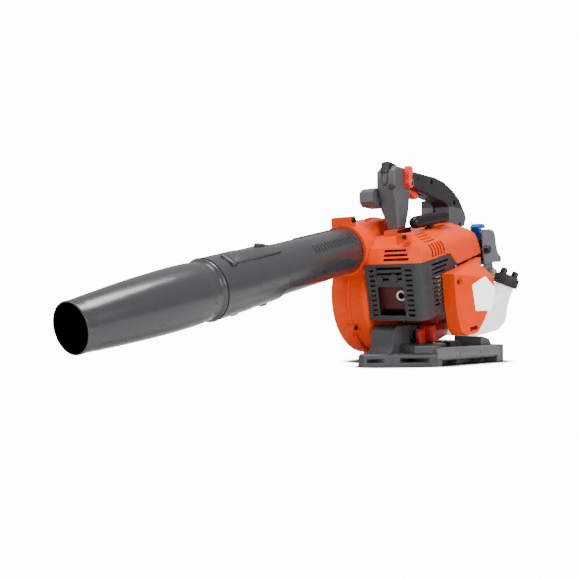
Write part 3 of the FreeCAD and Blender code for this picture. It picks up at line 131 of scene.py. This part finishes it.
world = bpy.data.worlds.new("white_sky")
bpy.context.scene.world = world
world.use_nodes = True
world.node_tree.nodes["Background"].inputs["Color"].default_value = (1, 1, 1, 1)
world.node_tree.nodes["Background"].inputs["Strength"].default_value = 0.62
seen_white(world.node_tree, world.node_tree.nodes["World Output"].inputs["Surface"], GLOW)
print("floor", floor.name, "under", world.name)


# %% lamps
def soft_lamp(name, place, target, size, power):
    """A square area lamp that faces a point."""
    bpy.ops.object.light_add(type="AREA", location=place)
    lamp = bpy.context.object
    lamp.name = name
    lamp.data.size = size
    lamp.data.energy = power
    lamp.rotation_euler = (Vector(target) - Vector(place)).to_track_quat("-Z", "Y").to_euler()


soft_lamp("overhead", (-0.35, -0.05, 1.5), (-0.3, 0.0, 0.1), 0.7, 32)
soft_lamp("left_side", (-1.6, 0.6, 0.7), (-0.3, 0.1, 0.15), 0.6, 9)
soft_lamp("front_fill", (-0.5, -1.9, 0.9), (0.0, 0.0, 0.15), 0.8, 30)
print("lamps: 3")


# %% [markdown]
# ## Finishes
# Moulded plastic is never one flat colour: the tone drifts a little over a hand's width, the
# gloss changes where it was handled, the tool leaves a fine grain, and raised edges rub paler.
# One recipe makes the plastics, each with its own colour, gloss and grain size. Metal, the tube
# and the milky plastic have recipes of their own.

# %% steps that every recipe uses
def add_node(tree, kind, **settings):
    """A node with its plain settings and its numbered or named inputs filled in."""
    made = tree.nodes.new(kind)
    for key, value in settings.items():
        if hasattr(made, key):
            setattr(made, key, value)
        else:
            made.inputs[key.replace("_", " ")].default_value = value
    return made


def shade(colour, factor):
    """The colour made lighter or darker."""
    return tuple(min(1.0, part * factor) for part in colour[:3]) + (1.0,)


def noise(tree, place, scale, detail=3.0, stretch=None):
    """Noise on the object's own coordinates, with an optional stretch along each axis."""
    made = add_node(tree, "ShaderNodeTexNoise", Scale=scale, Detail=detail)
    if stretch:
        mapping = add_node(tree, "ShaderNodeMapping", Scale=stretch)
        tree.links.new(place, mapping.inputs["Vector"])
        place = mapping.outputs["Vector"]
    tree.links.new(place, made.inputs["Vector"])
    return made.outputs["Fac"]


def blend_colours(tree, factor, low, high):
    """A colour ramp between two colours, driven by a factor."""
    ramp = tree.nodes.new("ShaderNodeValToRGB")
    ramp.color_ramp.elements[0].position = 0.3
    ramp.color_ramp.elements[0].color = low
    ramp.color_ramp.elements[1].position = 0.7
    ramp.color_ramp.elements[1].color = high
    tree.links.new(factor, ramp.inputs["Fac"])
    return ramp.outputs["Color"]


def rough_range(tree, factor, low, high):
    """Maps a factor onto a roughness range."""
    mapped = add_node(tree, "ShaderNodeMapRange", **{"To_Min": low, "To_Max": high})
    tree.links.new(factor, mapped.inputs["Value"])
    return mapped.outputs["Result"]


def edge_wear(tree, colour, worn, strength):
    """Mixes in a paler tone where the surface is sharply convex."""
    geometry = tree.nodes.new("ShaderNodeNewGeometry")
    ramp = tree.nodes.new("ShaderNodeValToRGB")
    ramp.color_ramp.elements[0].position = 0.52
    ramp.color_ramp.elements[0].color = (0, 0, 0, 1)
    ramp.color_ramp.elements[1].position = 0.60
    ramp.color_ramp.elements[1].color = (strength, strength, strength, 1)
    mix = add_node(tree, "ShaderNodeMix", data_type="RGBA")
    tree.links.new(geometry.outputs["Pointiness"], ramp.inputs["Fac"])
    tree.links.new(ramp.outputs["Color"], mix.inputs["Factor"])
    tree.links.new(colour, mix.inputs[6])
    mix.inputs[7].default_value = worn
    return mix.outputs[2]


def bump(tree, height, depth):
    """Turns a height pattern into a surface normal; depth is in metres."""
    made = add_node(tree, "ShaderNodeBump", Strength=1.0, Distance=depth)
    tree.links.new(height, made.inputs["Height"])
    return made.outputs["Normal"]


def uneven_gloss(tree, shader, pattern, low, high):
    """Lets the roughness wander between two values."""
    tree.links.new(rough_range(tree, pattern, low, high), shader.inputs["Roughness"])


def coordinates(tree, output):
    """One output of the material's own coordinate node."""
    return next(node for node in tree.nodes if node.type == "TEX_COORD").outputs[output]


def paint_where(tree, shader, mask, colour):
    """Paints one colour over the base colour where the mask is 1."""
    base = shader.inputs["Base Color"].links[0].from_socket
    mix = add_node(tree, "ShaderNodeMix", data_type="RGBA")
    tree.links.new(mask, mix.inputs["Factor"])
    tree.links.new(base, mix.inputs[6])
    mix.inputs[7].default_value = colour
    tree.links.new(mix.outputs[2], shader.inputs["Base Color"])


def compare(tree, operation, value, limit):
    """1 where the value is greater or less than the limit, and 0 elsewhere."""
    made = add_node(tree, "ShaderNodeMath", operation=operation)
    made.inputs[1].default_value = limit
    tree.links.new(value, made.inputs[0])
    return made.outputs["Value"]


# %% moulded plastic and metal recipes
def moulded(name, colour, gloss, grain=900.0, depth=0.00012, drift=0.08, coat=0.0, wear=0.25, shine=0.35,
            uneven=0.065):
    """Injection-moulded plastic: drifting tone, uneven gloss, fine tool grain, rubbed edges."""
    material, tree, shader, place = new_material(name)
    patches = noise(tree, place, 9.0, 4.0)
    drifted = blend_colours(tree, patches, shade(colour, 1 - drift), shade(colour, 1 + drift))
    worn = edge_wear(tree, drifted, shade(colour, 1.6), wear)
    tree.links.new(worn, shader.inputs["Base Color"])
    uneven_gloss(tree, shader, noise(tree, place, 45.0), gloss - uneven, gloss + uneven)
    tree.links.new(bump(tree, noise(tree, place, grain, 2.0), depth), shader.inputs["Normal"])
    shader.inputs["Coat Weight"].default_value = coat
    shader.inputs["Coat Roughness"].default_value = 0.12
    shader.inputs["Specular IOR Level"].default_value = shine
    return material


def metal(name, colour, gloss, stretch=(1, 1, 1), scale=400.0, depth=0.00008):
    """Machined or cast metal: tone drift, uneven gloss and a grain that can be drawn out one way."""
    material, tree, shader, place = new_material(name)
    drifted = blend_colours(tree, noise(tree, place, 25.0, 4.0), shade(colour, 0.85), shade(colour, 1.1))
    tree.links.new(edge_wear(tree, drifted, shade(colour, 1.5), 0.4), shader.inputs["Base Color"])
    shader.inputs["Metallic"].default_value = 1.0
    uneven_gloss(tree, shader, noise(tree, place, 80.0), gloss - 0.08, gloss + 0.1)
    tree.links.new(bump(tree, noise(tree, place, scale, 3.0, stretch), depth), shader.inputs["Normal"])
    return material


# %% tube finish with painted shade inside
def facing_out(tree, offset):
    """How far a surface faces the way of its offset; it is below zero on an inside face."""
    facing = add_node(tree, "ShaderNodeVectorMath", operation="DOT_PRODUCT")
    tree.links.new(offset, facing.inputs[0])
    tree.links.new(coordinates(tree, "Normal"), facing.inputs[1])
    return facing.outputs["Value"]


def away_from(tree, place, centre):
    """The surface's offset from a fixed point."""
    offset = add_node(tree, "ShaderNodeVectorMath", operation="SUBTRACT")
    offset.inputs[1].default_value = centre
    tree.links.new(place, offset.inputs[0])
    return offset.outputs["Vector"]


def tube_finish(name, colour, gloss):
    """Blow-moulded tube, smooth and glossy outside, with painted shade (black, no reflection) on inward faces."""
    material, tree, shader, place = new_material(name)
    sleeve = next(joint for joint in frame["joints"] if joint["name"] == "nozzle_twist")
    flat = add_node(tree, "ShaderNodeVectorMath", operation="CROSS_PRODUCT")
    flat.inputs[1].default_value = sleeve["axis"]
    radial = add_node(tree, "ShaderNodeVectorMath", operation="CROSS_PRODUCT")
    radial.inputs[0].default_value = sleeve["axis"]
    tree.links.new(away_from(tree, place, sleeve["pos_m"]), flat.inputs[0])
    tree.links.new(flat.outputs["Vector"], radial.inputs[1])
    # Painted shade: faces that look towards the tube's axis are painted near black and lose their reflection.
    painted_shade_mask = compare(tree, "LESS_THAN", facing_out(tree, radial.outputs["Vector"]), -0.01)
    drifted = blend_colours(tree, noise(tree, place, 5.0, 4.0), shade(colour, 0.94), shade(colour, 1.06))
    tree.links.new(drifted, shader.inputs["Base Color"])
    paint_where(tree, shader, painted_shade_mask, (0.001, 0.001, 0.001, 1))
    uneven_gloss(tree, shader, noise(tree, place, 30.0), gloss - 0.01, gloss + 0.01)
    tree.links.new(bump(tree, noise(tree, place, 900.0, 2.0), 0.000004), shader.inputs["Normal"])
    painted_shade_spec = add_node(tree, "ShaderNodeMapRange", **{"To_Min": 0.5, "To_Max": 0.0})
    tree.links.new(painted_shade_mask, painted_shade_spec.inputs["Value"])
    tree.links.new(painted_shade_spec.outputs["Result"], shader.inputs["Specular IOR Level"])
    return material


# %% two-tone handle
GRIP_FRONT, GRIP_LOW = -0.0285, 0.294


def two_tone(name, grip, body, gloss):
    """Handle: grey moulding whose grip, behind the head and above the loop, is a darker soft layer."""
    material = moulded(name, body, gloss, grain=1000, depth=0.00016)
    tree = material.node_tree
    shader = tree.nodes["Principled BSDF"]
    parts = tree.nodes.new("ShaderNodeSeparateXYZ")
    tree.links.new(coordinates(tree, "Object"), parts.inputs["Vector"])
    both = add_node(tree, "ShaderNodeMath", operation="MULTIPLY")
    tree.links.new(compare(tree, "GREATER_THAN", parts.outputs["X"], GRIP_FRONT), both.inputs[0])
    tree.links.new(compare(tree, "GREATER_THAN", parts.outputs["Z"], GRIP_LOW), both.inputs[1])
    paint_where(tree, shader, both.outputs["Value"], (*grip, 1))
    return material


# %% painted shade inside a shell
def paint_shade_inside(material, name):
    """Paints shade on the faces of a shell that look towards its middle, so its slots read dark."""
    low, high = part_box(name)
    tree = material.node_tree
    centre = [(a + b) / 2 for a, b in zip(low, high)]
    offset = away_from(tree, coordinates(tree, "Object"), centre)
    painted_shade_mask = compare(tree, "LESS_THAN", facing_out(tree, offset), 0.002)
    paint_where(tree, tree.nodes["Principled BSDF"], painted_shade_mask, (0.004, 0.003, 0.003, 1))
    return material


# %% the finishes
finishes = {
    "orange": moulded("orange", (0.74, 0.046, 0.0), 0.26, depth=0.000004, drift=0.02, wear=0.0,
                      shine=0.09, uneven=0.02),
    "tube_grey": tube_finish("tube_grey", (0.032, 0.032, 0.035), 0.24),
    "handle_grey": two_tone("handle_grey", (0.0055, 0.0055, 0.006), (0.062, 0.063, 0.068), 0.40),
    "guard_grey": moulded("guard_grey", (0.022, 0.023, 0.025), 0.48, grain=1100, depth=0.00006),
    "base_grey": moulded("base_grey", (0.042, 0.043, 0.047), 0.40, grain=1000, depth=0.00006),
    "handle_black": moulded("handle_black", (0.0035, 0.0035, 0.0045), 0.34, grain=1000, depth=0.00004,
                            shine=0.3),
    "filter_grey": moulded("filter_grey", (0.105, 0.110, 0.122), 0.40, grain=1000, depth=0.00006),
    "lever_red": moulded("lever_red", (0.90, 0.018, 0.004), 0.33, coat=0.1, wear=0.0),
    "choke_blue": moulded("choke_blue", (0.003, 0.070, 0.340), 0.33, coat=0.1, wear=0.0),
    "badge_white": moulded("badge_white", (0.85, 0.85, 0.84), 0.30, drift=0.02, wear=0.0),
    "cap_dark": moulded("cap_dark", (0.026, 0.026, 0.028), 0.44, grain=900, depth=0.00006),
    "gasket_fibre": moulded("gasket_fibre", (0.05, 0.048, 0.045), 0.85, grain=600, depth=0.0003),
    "soft_rubber": moulded("soft_rubber", (0.020, 0.020, 0.021), 0.70, grain=500, depth=0.0002),
    "rope_cord": moulded("rope_cord", (0.60, 0.58, 0.52), 0.85, grain=700, depth=0.0006),
    "filter_foam": moulded("filter_foam", (0.045, 0.045, 0.048), 0.95, grain=350, depth=0.0010),
    "plug_ceramic": moulded("plug_ceramic", (0.80, 0.79, 0.76), 0.20, drift=0.03, coat=0.5, wear=0.0),
    "muffler_red": moulded("muffler_red", (0.065, 0.002, 0.001), 0.55, grain=500, depth=0.0002,
                           drift=0.3, wear=0.0),
    # Painted shade: the bracket is the housing's orange, darkened to a dark red for the shadow under the engine.
    "bracket_orange_in_shade": moulded("bracket_orange_in_shade", (0.30, 0.010, 0.004), 0.45, grain=700, depth=0.0001,
                           drift=0.2, wear=0.0),
    "cast_alloy": metal("cast_alloy", (0.55, 0.56, 0.57), 0.45, scale=500, depth=0.0002),
    "machined_steel": metal("machined_steel", (0.52, 0.52, 0.53), 0.30, stretch=(1, 1, 14)),
    "black_screw": metal("black_screw", (0.035, 0.035, 0.038), 0.38),
}
print("plastics and metals:", len(finishes))


# %% milky plastic, and pieces with a finish of their own: painted shade inside shells, painted glow on white plastic
def milky(name, colour, gloss, clear, thin):
    """Translucent plastic: light passes and scatters, and the wall's thickness clouds it."""
    material, tree, shader, place = new_material(name)
    drifted = blend_colours(tree, noise(tree, place, 14.0, 3.0), shade(colour, 0.92), shade(colour, 1.04))
    tree.links.new(drifted, shader.inputs["Base Color"])
    uneven_gloss(tree, shader, noise(tree, place, 60.0), gloss - 0.04, gloss + 0.1)
    tree.links.new(bump(tree, noise(tree, place, 1200.0, 2.0), 0.00006), shader.inputs["Normal"])
    shader.inputs["Transmission Weight"].default_value = clear
    shader.inputs["Subsurface Weight"].default_value = thin
    shader.inputs["Subsurface Radius"].default_value = (0.01, 0.01, 0.01)
    shader.inputs["IOR"].default_value = 1.45
    return material


def paint_glow(material, colour, strength):
    """Paints a glow into the piece, though it is no lamp, so that bright white plastic stays white."""
    shader = material.node_tree.nodes["Principled BSDF"]
    shader.inputs["Emission Color"].default_value = colour
    shader.inputs["Emission Strength"].default_value = strength


# Painted shade: the cover's and the guard's faces that look inward are painted near black.
finishes["cover_orange_shaded_inside"] = paint_shade_inside(finishes["orange"].copy(), "engine_cover")
finishes["guard_shell_shaded_inside"] = paint_shade_inside(finishes["guard_grey"].copy(), "muffler_guard")
finishes["tank_white"] = milky("tank_white", (0.82, 0.84, 0.80), 0.34, 0.25, 0.4)
# Painted glow: the tank and the badge give off a little light, though neither is a lamp.
paint_glow(finishes["tank_white"], (0.95, 0.96, 0.93, 1), 0.55)
paint_glow(finishes["badge_white"], (1, 1, 1, 1), 1.3)
finishes["bulb_clear"] = milky("bulb_clear", (0.80, 0.74, 0.60), 0.16, 0.7, 0.1)
print("finishes:", len(finishes))

# %% [markdown]
# ## Dressing the solid pieces
# The solid model's pieces keep their shapes. Every moulded edge has a small radius from the
# tool, so each piece gets its doubled edge points welded and a narrow bevel, with
# smooth shading over the round parts. Cords, bearings, rings and thin blades have no edge
# that needs it, and are left plain.

# %% finish and edge radius for each solid piece
slot_of = {part["node"]: part["material_slot"] for part in frame["record"]["subparts"]}
USUAL_EDGE = 0.0007
own_edge = {"badge_plate": 0.0004, "housing_screws": 0.0003, "body_screws": 0.0003,
            "recoil_spring": 0.0001, "starter_cover": 0.0024, "handle_engine_side": 0.0022,
            "handle_fan_side": 0.0022, "base_frame": 0.0016, "filter_cover": 0.0028,
            "cruise_lever": 0.0016, "throttle_trigger": 0.0016, "choke_lever": 0.0016,
            "engine_cover": 0.0009, "fan_housing_engine_side": 0.0009}
# The bracket, the cover and the guard take the finishes with painted shade.
own_finish = {"engine_bracket": "bracket_orange_in_shade", "engine_cover": "cover_orange_shaded_inside",
              "muffler_guard": "guard_shell_shaded_inside"}
plain = {"starter_rope", "fuel_line", "throttle_cable", "crank_bearings", "piston_rings", "impeller"}
for name, piece in nodes.items():
    finish = "handle_grey" if name.startswith("handle_") else own_finish.get(name, slot_of[name])
    piece.material_slots[0].material = finishes[finish]
    if name in plain:
        continue
    weld = piece.modifiers.new("weld", "WELD")
    weld.merge_threshold = 0.00002
    edge = piece.modifiers.new("edge_radius", "BEVEL")
    edge.width = own_edge.get(name, USUAL_EDGE)
    edge.segments = 2
    edge.limit_method = "ANGLE"
    edge.angle_limit = math.radians(32)
    edge.use_clamp_overlap = True
    edge.harden_normals = False
    smooth = piece.modifiers.new("smooth", "WEIGHTED_NORMAL")
    smooth.keep_sharp = False
print("dressed:", len(nodes))

# %% [markdown]
# ## Tools for the new pieces
# The tool leans nose down on its base, so its own straight lines are tilted in the frame. Each
# new piece is first built along the tool's own axis, in millimetres from the crankshaft, and is
# then leaned with the rest of the tool. The tilt and the crankshaft's place come from the joints
# in the record.

# %% the tool's own axes
joints = {joint["name"]: joint for joint in frame["joints"]}
lean = math.atan2(joints["sleeve_slide"]["axis"][2], joints["sleeve_slide"]["axis"][0])
crank = Vector(joints["crank_spin"]["pos_m"])
leaned = Matrix.Translation(crank) @ Matrix.Rotation(-lean, 4, "Y")
MM = 0.001
print("lean", round(math.degrees(lean), 2))


# %% small modelling steps
def settle(piece, place=None):
    """Puts the piece's own place into its mesh, and then a further place if one is given."""
    bpy.ops.object.select_all(action="DESELECT")
    piece.select_set(True)
    bpy.context.view_layer.objects.active = piece
    bpy.ops.object.transform_apply(location=True, rotation=True, scale=True)
    if place is not None:
        piece.matrix_world = place
        bpy.ops.object.transform_apply(location=True, rotation=True, scale=True)


def add_block(low, high, turn=(0, 0, 0)):
    """A box between two corners, in the tool's millimetres."""
    middle = [(a + b) / 2 * MM for a, b in zip(low, high)]
    bpy.ops.mesh.primitive_cube_add(size=1, location=middle, rotation=turn)
    block = bpy.context.object
    block.scale = [(b - a) * MM for a, b in zip(low, high)]
    settle(block)
    return block


def add_round(radius, depth, centre, axis="Z", sides=48):
    """A cylinder about a centre, along one axis."""
    turns = {"X": (0, math.pi / 2, 0), "Y": (math.pi / 2, 0, 0), "Z": (0, 0, 0)}
    bpy.ops.mesh.primitive_cylinder_add(vertices=sides, radius=radius * MM, depth=depth * MM,
                                        location=[v * MM for v in centre], rotation=turns[axis])
    made = bpy.context.object
    settle(made)
    return made


def add_ring(radius, thickness, centre, sides=48, around=12):
    """A thin ring that faces along the tube."""
    bpy.ops.mesh.primitive_torus_add(major_radius=radius * MM, minor_radius=thickness * MM,
                                     major_segments=sides, minor_segments=around,
                                     location=[v * MM for v in centre], rotation=(0, math.pi / 2, 0))
    ring = bpy.context.object
    settle(ring)
    return ring


def joined(parts, name):
    """Joins loose parts of one moulding into one object."""
    bpy.ops.object.select_all(action="DESELECT")
    for part in parts:
        part.select_set(True)
    bpy.context.view_layer.objects.active = parts[0]
    bpy.ops.object.join()
    bpy.context.object.name = name
    return bpy.context.object


def soften(piece, width, segments=3):
    """A small radius on every sharp edge, with smooth shading."""
    bpy.context.view_layer.objects.active = piece
    edge = piece.modifiers.new("edge_radius", "BEVEL")
    edge.width = width * MM
    edge.segments = segments
    edge.limit_method = "ANGLE"
    edge.angle_limit = math.radians(30)
    bpy.ops.object.modifier_apply(modifier=edge.name)
    bpy.ops.object.shade_smooth_by_angle(angle=math.radians(38))


def dress(piece, finish, body, place=leaned):
    """Gives a finished piece its place, its finish and the body that it moves with."""
    settle(piece, place)
    piece.data.materials.clear()
    piece.data.materials.append(finishes[finish])
    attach(piece, body)
    print(piece.name, "faces", len(piece.data.polygons))


# %% [markdown]
# ## Latch and lugs on the sleeve
# A long flat rib runs along the sleeve's top on the engine side, with a raised hook and a slot at each end;
# the slots' shade is painted, as dark blocks set into the hooks. The rib is moulded with the sleeve, so it
# is a low block that sinks into the tube's wall. Two small lugs stand out under the tube.

# %% sleeve latch
TUBE_Y, TUBE_Z = 100, 94.7
COLLAR_RADIUS = 44.6
latch_angle = math.radians(35)
hook_angle = latch_angle - 0.42


def on_tube(x, angle, radius):
    """A point at an angle from the tube's top towards the engine side."""
    return (x, TUBE_Y - radius * math.sin(angle), TUBE_Z + radius * math.cos(angle))


def tube_block(x0, x1, angle, radius, width, rise):
    """A block along the tube that faces straight out from its axis."""
    centre = on_tube((x0 + x1) / 2, angle, radius)
    bpy.ops.mesh.primitive_cube_add(size=1, location=[v * MM for v in centre], rotation=(angle, 0, 0))
    block = bpy.context.object
    block.scale = ((x1 - x0) * MM, width * MM, rise * MM)
    settle(block)
    return block


plate = tube_block(-432, -327, latch_angle, 43.2, 19, 5)
front_hook = tube_block(-441, -433, latch_angle, COLLAR_RADIUS, 25, 6)
rear_hook = tube_block(-352, -344, hook_angle, COLLAR_RADIUS, 12, 6)
latch = joined([plate, front_hook, rear_hook], "sleeve_latch")
soften(latch, 1.2)
dress(latch, "tube_grey", "sleeve")

# Painted shade: dark blocks in the hooks stand for the shaded hollow of each slot.
slot_shade_blocks = [tube_block(-434, -428.5, latch_angle, COLLAR_RADIUS, 22, 3.2),
         tube_block(-345, -340, hook_angle, 44.8, 12, 4.4)]
latch_slot_shade = joined(slot_shade_blocks, "sleeve_latch_slot_shade")
soften(latch_slot_shade, 0.5)
dress(latch_slot_shade, "soft_rubber", "sleeve")

lugs = [tube_block(x, x + 13, math.pi, 45.0, 9, 3.5) for x in (-420, -352)]
roll_lugs = joined(lugs, "sleeve_lugs")
soften(roll_lugs, 1.0)
dress(roll_lugs, "tube_grey", "sleeve")

# %% [markdown]
# ## Seams round the sleeve
# A dark line runs round the tube where the nozzle stops against the sleeve, and another where
# the sleeve's collar ends. Each is a thin ring that sits in the joint.

# %% seam rings
rings = [add_ring(radius, 0.45, (x, TUBE_Y, TUBE_Z), sides=96, around=8)
         for x, radius in ((-465.2, 44.5), (-392, 43.9))]
seam_rings = joined(rings, "sleeve_seams")
bpy.ops.object.shade_smooth()
dress(seam_rings, "soft_rubber", "sleeve")

# %% [markdown]
# ## Grip ribs on the rear tube
# A band of short raised bars on the tube's engine side gives the hand a hold. They are plain
# flat bars, all alike, so a loop makes them, each square to the tube's surface.

# %% rear tube ribs
RIB_COUNT, RIB_START, RIB_PITCH, RIB_LONG = 13, -241, 9, 3.5
rib_starts = [RIB_START + RIB_PITCH * step for step in range(RIB_COUNT)]
bars = [tube_block(x, x + RIB_LONG, latch_angle + 0.35, 40.2, 15, 1.6) for x in rib_starts]
tube_ribs = joined(bars, "rear_tube_ribs")
soften(tube_ribs, 0.5, segments=2)
dress(tube_ribs, "tube_grey", "housing")

# %% [markdown]
# ## Fuel cap
# The cap is a short drum with a knurled side, a low crown, and two upright wings with a bridge
# between them, which a gloved finger pushes round. The knurl is a ring of narrow ribs, as a
# moulded cap has.

# %% fuel cap
cap_joint = joints["cap_turn"]
cap_axis = Vector(cap_joint["axis"])
wing_way = (leaned.to_3x3() @ Vector((-0.883, 0.245, 0.401))).normalized()
cap_turn = Matrix((wing_way.cross(cap_axis), wing_way, cap_axis)).transposed()
cap_place = Matrix.Translation(Vector(cap_joint["pos_m"])) @ cap_turn.to_4x4()
drum = add_round(21.4, 18, (0, 0, -4.6), sides=64)
crown = add_round(19.5, 2.6, (0, 0, 5.4), sides=64)
KNURLS, KNURL_RADIUS, DRUM_MIDDLE = 32, 21.7, -4.6
ribs = []
for step in range(KNURLS):
    angle = step * math.tau / KNURLS
    spot = (KNURL_RADIUS * MM * math.cos(angle), KNURL_RADIUS * MM * math.sin(angle), DRUM_MIDDLE * MM)
    bpy.ops.mesh.primitive_cube_add(size=1, location=spot, rotation=(0, 0, angle))
    rib = bpy.context.object
    rib.scale = (3.4 * MM, 2.2 * MM, 17 * MM)
    settle(rib)
    ribs.append(rib)
wings = []
for side in (-1, 1):
    wings.append(add_block((-5.5, side * 17.5 - 4, -6), (5.5, side * 17.5 + 4, 12.8)))
    wings.append(add_round(5.5, 8, (0, side * 17.5, 12.6), axis="Y", sides=24))
bridge = add_block((-3.2, -16, 3), (3.2, 16, 8.2))
fuel_cap = joined([drum, crown, bridge, *ribs, *wings], "fuel_cap_knurled")
soften(fuel_cap, 0.6, segments=2)
dress(fuel_cap, "cap_dark", "cap", cap_place)
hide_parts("fuel_cap")

# %% [markdown]
# ## Pull handle
# The starter's handle is a thick moulded bar with rounded ends, and a short neck below its
# middle where the rope goes in. A cylinder is cut into short lengths, each ring of points is
# scaled to the bar's thickness there, and the whole is smoothed.

# %% pull handle
bpy.ops.mesh.primitive_cylinder_add(vertices=20, radius=0.5, depth=1, location=(0, 0, 0),
                                    rotation=(0, math.pi / 2, 0))
pull = bpy.context.object
settle(pull)
bpy.ops.object.mode_set(mode="EDIT")
bpy.ops.mesh.select_all(action="SELECT")
profile = {0.50: 0.52, 0.48: 0.78, 0.44: 0.95, 0.36: 1.0, 0.22: 0.94, 0.08: 0.98}
inner_cuts = sorted(profile)[:-1]
for cut_at in [-at for at in reversed(inner_cuts)] + inner_cuts:
    bpy.ops.mesh.select_all(action="SELECT")
    bpy.ops.mesh.bisect(plane_co=(cut_at, 0, 0), plane_no=(1, 0, 0))
bpy.ops.object.mode_set(mode="OBJECT")
BAR_LONG, BAR_DEEP, BAR_TALL = 106, 21, 23
for vertex in pull.data.vertices:
    nearest = min(profile, key=lambda at: abs(at - abs(vertex.co.x)))
    size = profile[nearest]
    vertex.co.y *= BAR_DEEP * MM * size
    lift = 2.2 * MM * (1 - size) if vertex.co.z < 0 else 0
    vertex.co.z = vertex.co.z * BAR_TALL * MM * size + lift
    vertex.co.x *= BAR_LONG * MM
smoother = pull.modifiers.new("smooth_bar", "SUBSURF")
smoother.levels = 2
smoother.render_levels = 2
bpy.ops.object.modifier_apply(modifier=smoother.name)
neck = add_round(6.5, 8, (0, 0, -9), sides=24)
pull = joined([pull, neck], "pull_handle_bar")
bpy.ops.object.shade_smooth_by_angle(angle=math.radians(40))
PULL_CENTRE = (23, -4, 127.5)
pull_turn = Matrix.Rotation(math.radians(-10), 4, "Z")
pull_place = leaned @ Matrix.Translation([v * MM for v in PULL_CENTRE]) @ pull_turn
dress(pull, "handle_black", "pull", pull_place)
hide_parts("starter_handle")

# %% [markdown]
# ## Small things on the handle's head
# A black locking peg lies along the head's front corner. A raised loop stands on the head's
# front, and a red tab shows behind the stop button. The handle stands level, so these are placed
# without the tool's lean.

# %% head details
PEG_CENTRE = (-84, 25.5, 306)
level = Matrix.Identity(4)
peg = add_round(5.4, 15, PEG_CENTRE, axis="X", sides=32)
peg_tip = add_round(4.2, 19, PEG_CENTRE, axis="X", sides=32)
lock_peg = joined([peg, peg_tip], "handle_lock_peg")
soften(lock_peg, 0.8)
dress(lock_peg, "soft_rubber", "housing", level)

LOOP_CENTRE = (-90.2, 38, 322)
loop = add_ring(7.5, 1.5, LOOP_CENTRE)
loop.name = "handle_front_loop"
bpy.ops.object.mode_set(mode="EDIT")
bpy.ops.mesh.select_all(action="SELECT")
bpy.ops.transform.resize(value=(0.8, 0.8, 1.5), center_override=[v * MM for v in LOOP_CENTRE])
bpy.ops.object.mode_set(mode="OBJECT")
bpy.ops.object.shade_smooth()
dress(loop, "guard_grey", "housing", level)

tab = add_block((-69, 30, 340), (-61, 46, 349))
tab.name = "handle_red_tab"
soften(tab, 1.5)
dress(tab, "lever_red", "housing", level)

# %% [markdown]
# ## Screws, rings and bosses
# A skirt in painted shade, the orange darkened to a dark red, hangs below the engine bracket and fills the
# shaded space under the engine. The throttle lock turns on a screw with a thick red ring round it. The
# cover has an upright tab with a dark screw at its front. The guard has two round bosses above its window,
# and a bright pipe end shows in the window where the muffler blows out.

# %% bracket skirt in painted shade
skirt_corners = [((-34, -17, -84), (34, -11, -55)), ((34, -14, -78), (62, -8, -50)),
                 ((-30, -18, -62), (58, -10, -54)), ((-60, -4, -83), (-30, 3, -57))]
skirt_in_shade = joined([add_block(near, far) for near, far in skirt_corners], "bracket_skirt_in_shade")
soften(skirt_in_shade, 1.5)
dress(skirt_in_shade, "bracket_orange_in_shade", "housing")

# %% lock hub
pivot = [value / MM for value in joints["cruise_swing"]["pos_m"]]
hub = add_round(8.2, 6, (pivot[0], 12.5, pivot[2]), axis="Y", sides=40)
hub.name = "lock_hub_ring"
soften(hub, 1.6)
dress(hub, "lever_red", "cruise", level)
hub_screw = add_round(4.2, 2, (pivot[0], 9.2, pivot[2]), axis="Y", sides=6)
hub_screw.name = "lock_hub_screw"
soften(hub_screw, 0.4)
dress(hub_screw, "black_screw", "cruise", level)

# %% cover tab
tab_block = add_block((-92, -19, 104), (-80, -5, 117))
tab_block.name = "cover_front_tab"
soften(tab_block, 2.5)
dress(tab_block, "orange", "housing")
tab_screw = add_round(3.8, 3, (-93, -12, 111), axis="X", sides=32)
tab_screw.name = "cover_front_screw"
soften(tab_screw, 0.6)
dress(tab_screw, "black_screw", "housing")

# %% guard bosses and pipe end
bosses = []
for y, z in ((36, 42), (8, 44)):
    bosses.append(add_round(7.5, 5, (-107.5, y, z), axis="X", sides=40))
    bosses.append(add_round(3.4, 7, (-108.5, y, z), axis="X", sides=6))
guard_bosses = joined(bosses, "guard_front_bosses")
soften(guard_bosses, 0.7)
dress(guard_bosses, "guard_grey", "housing")
pipe_end = add_ring(7.4, 2.0, (-101, 0, 14))
pipe_end.name = "muffler_pipe_end"
bpy.ops.object.shade_smooth()
dress(pipe_end, "machined_steel", "housing")
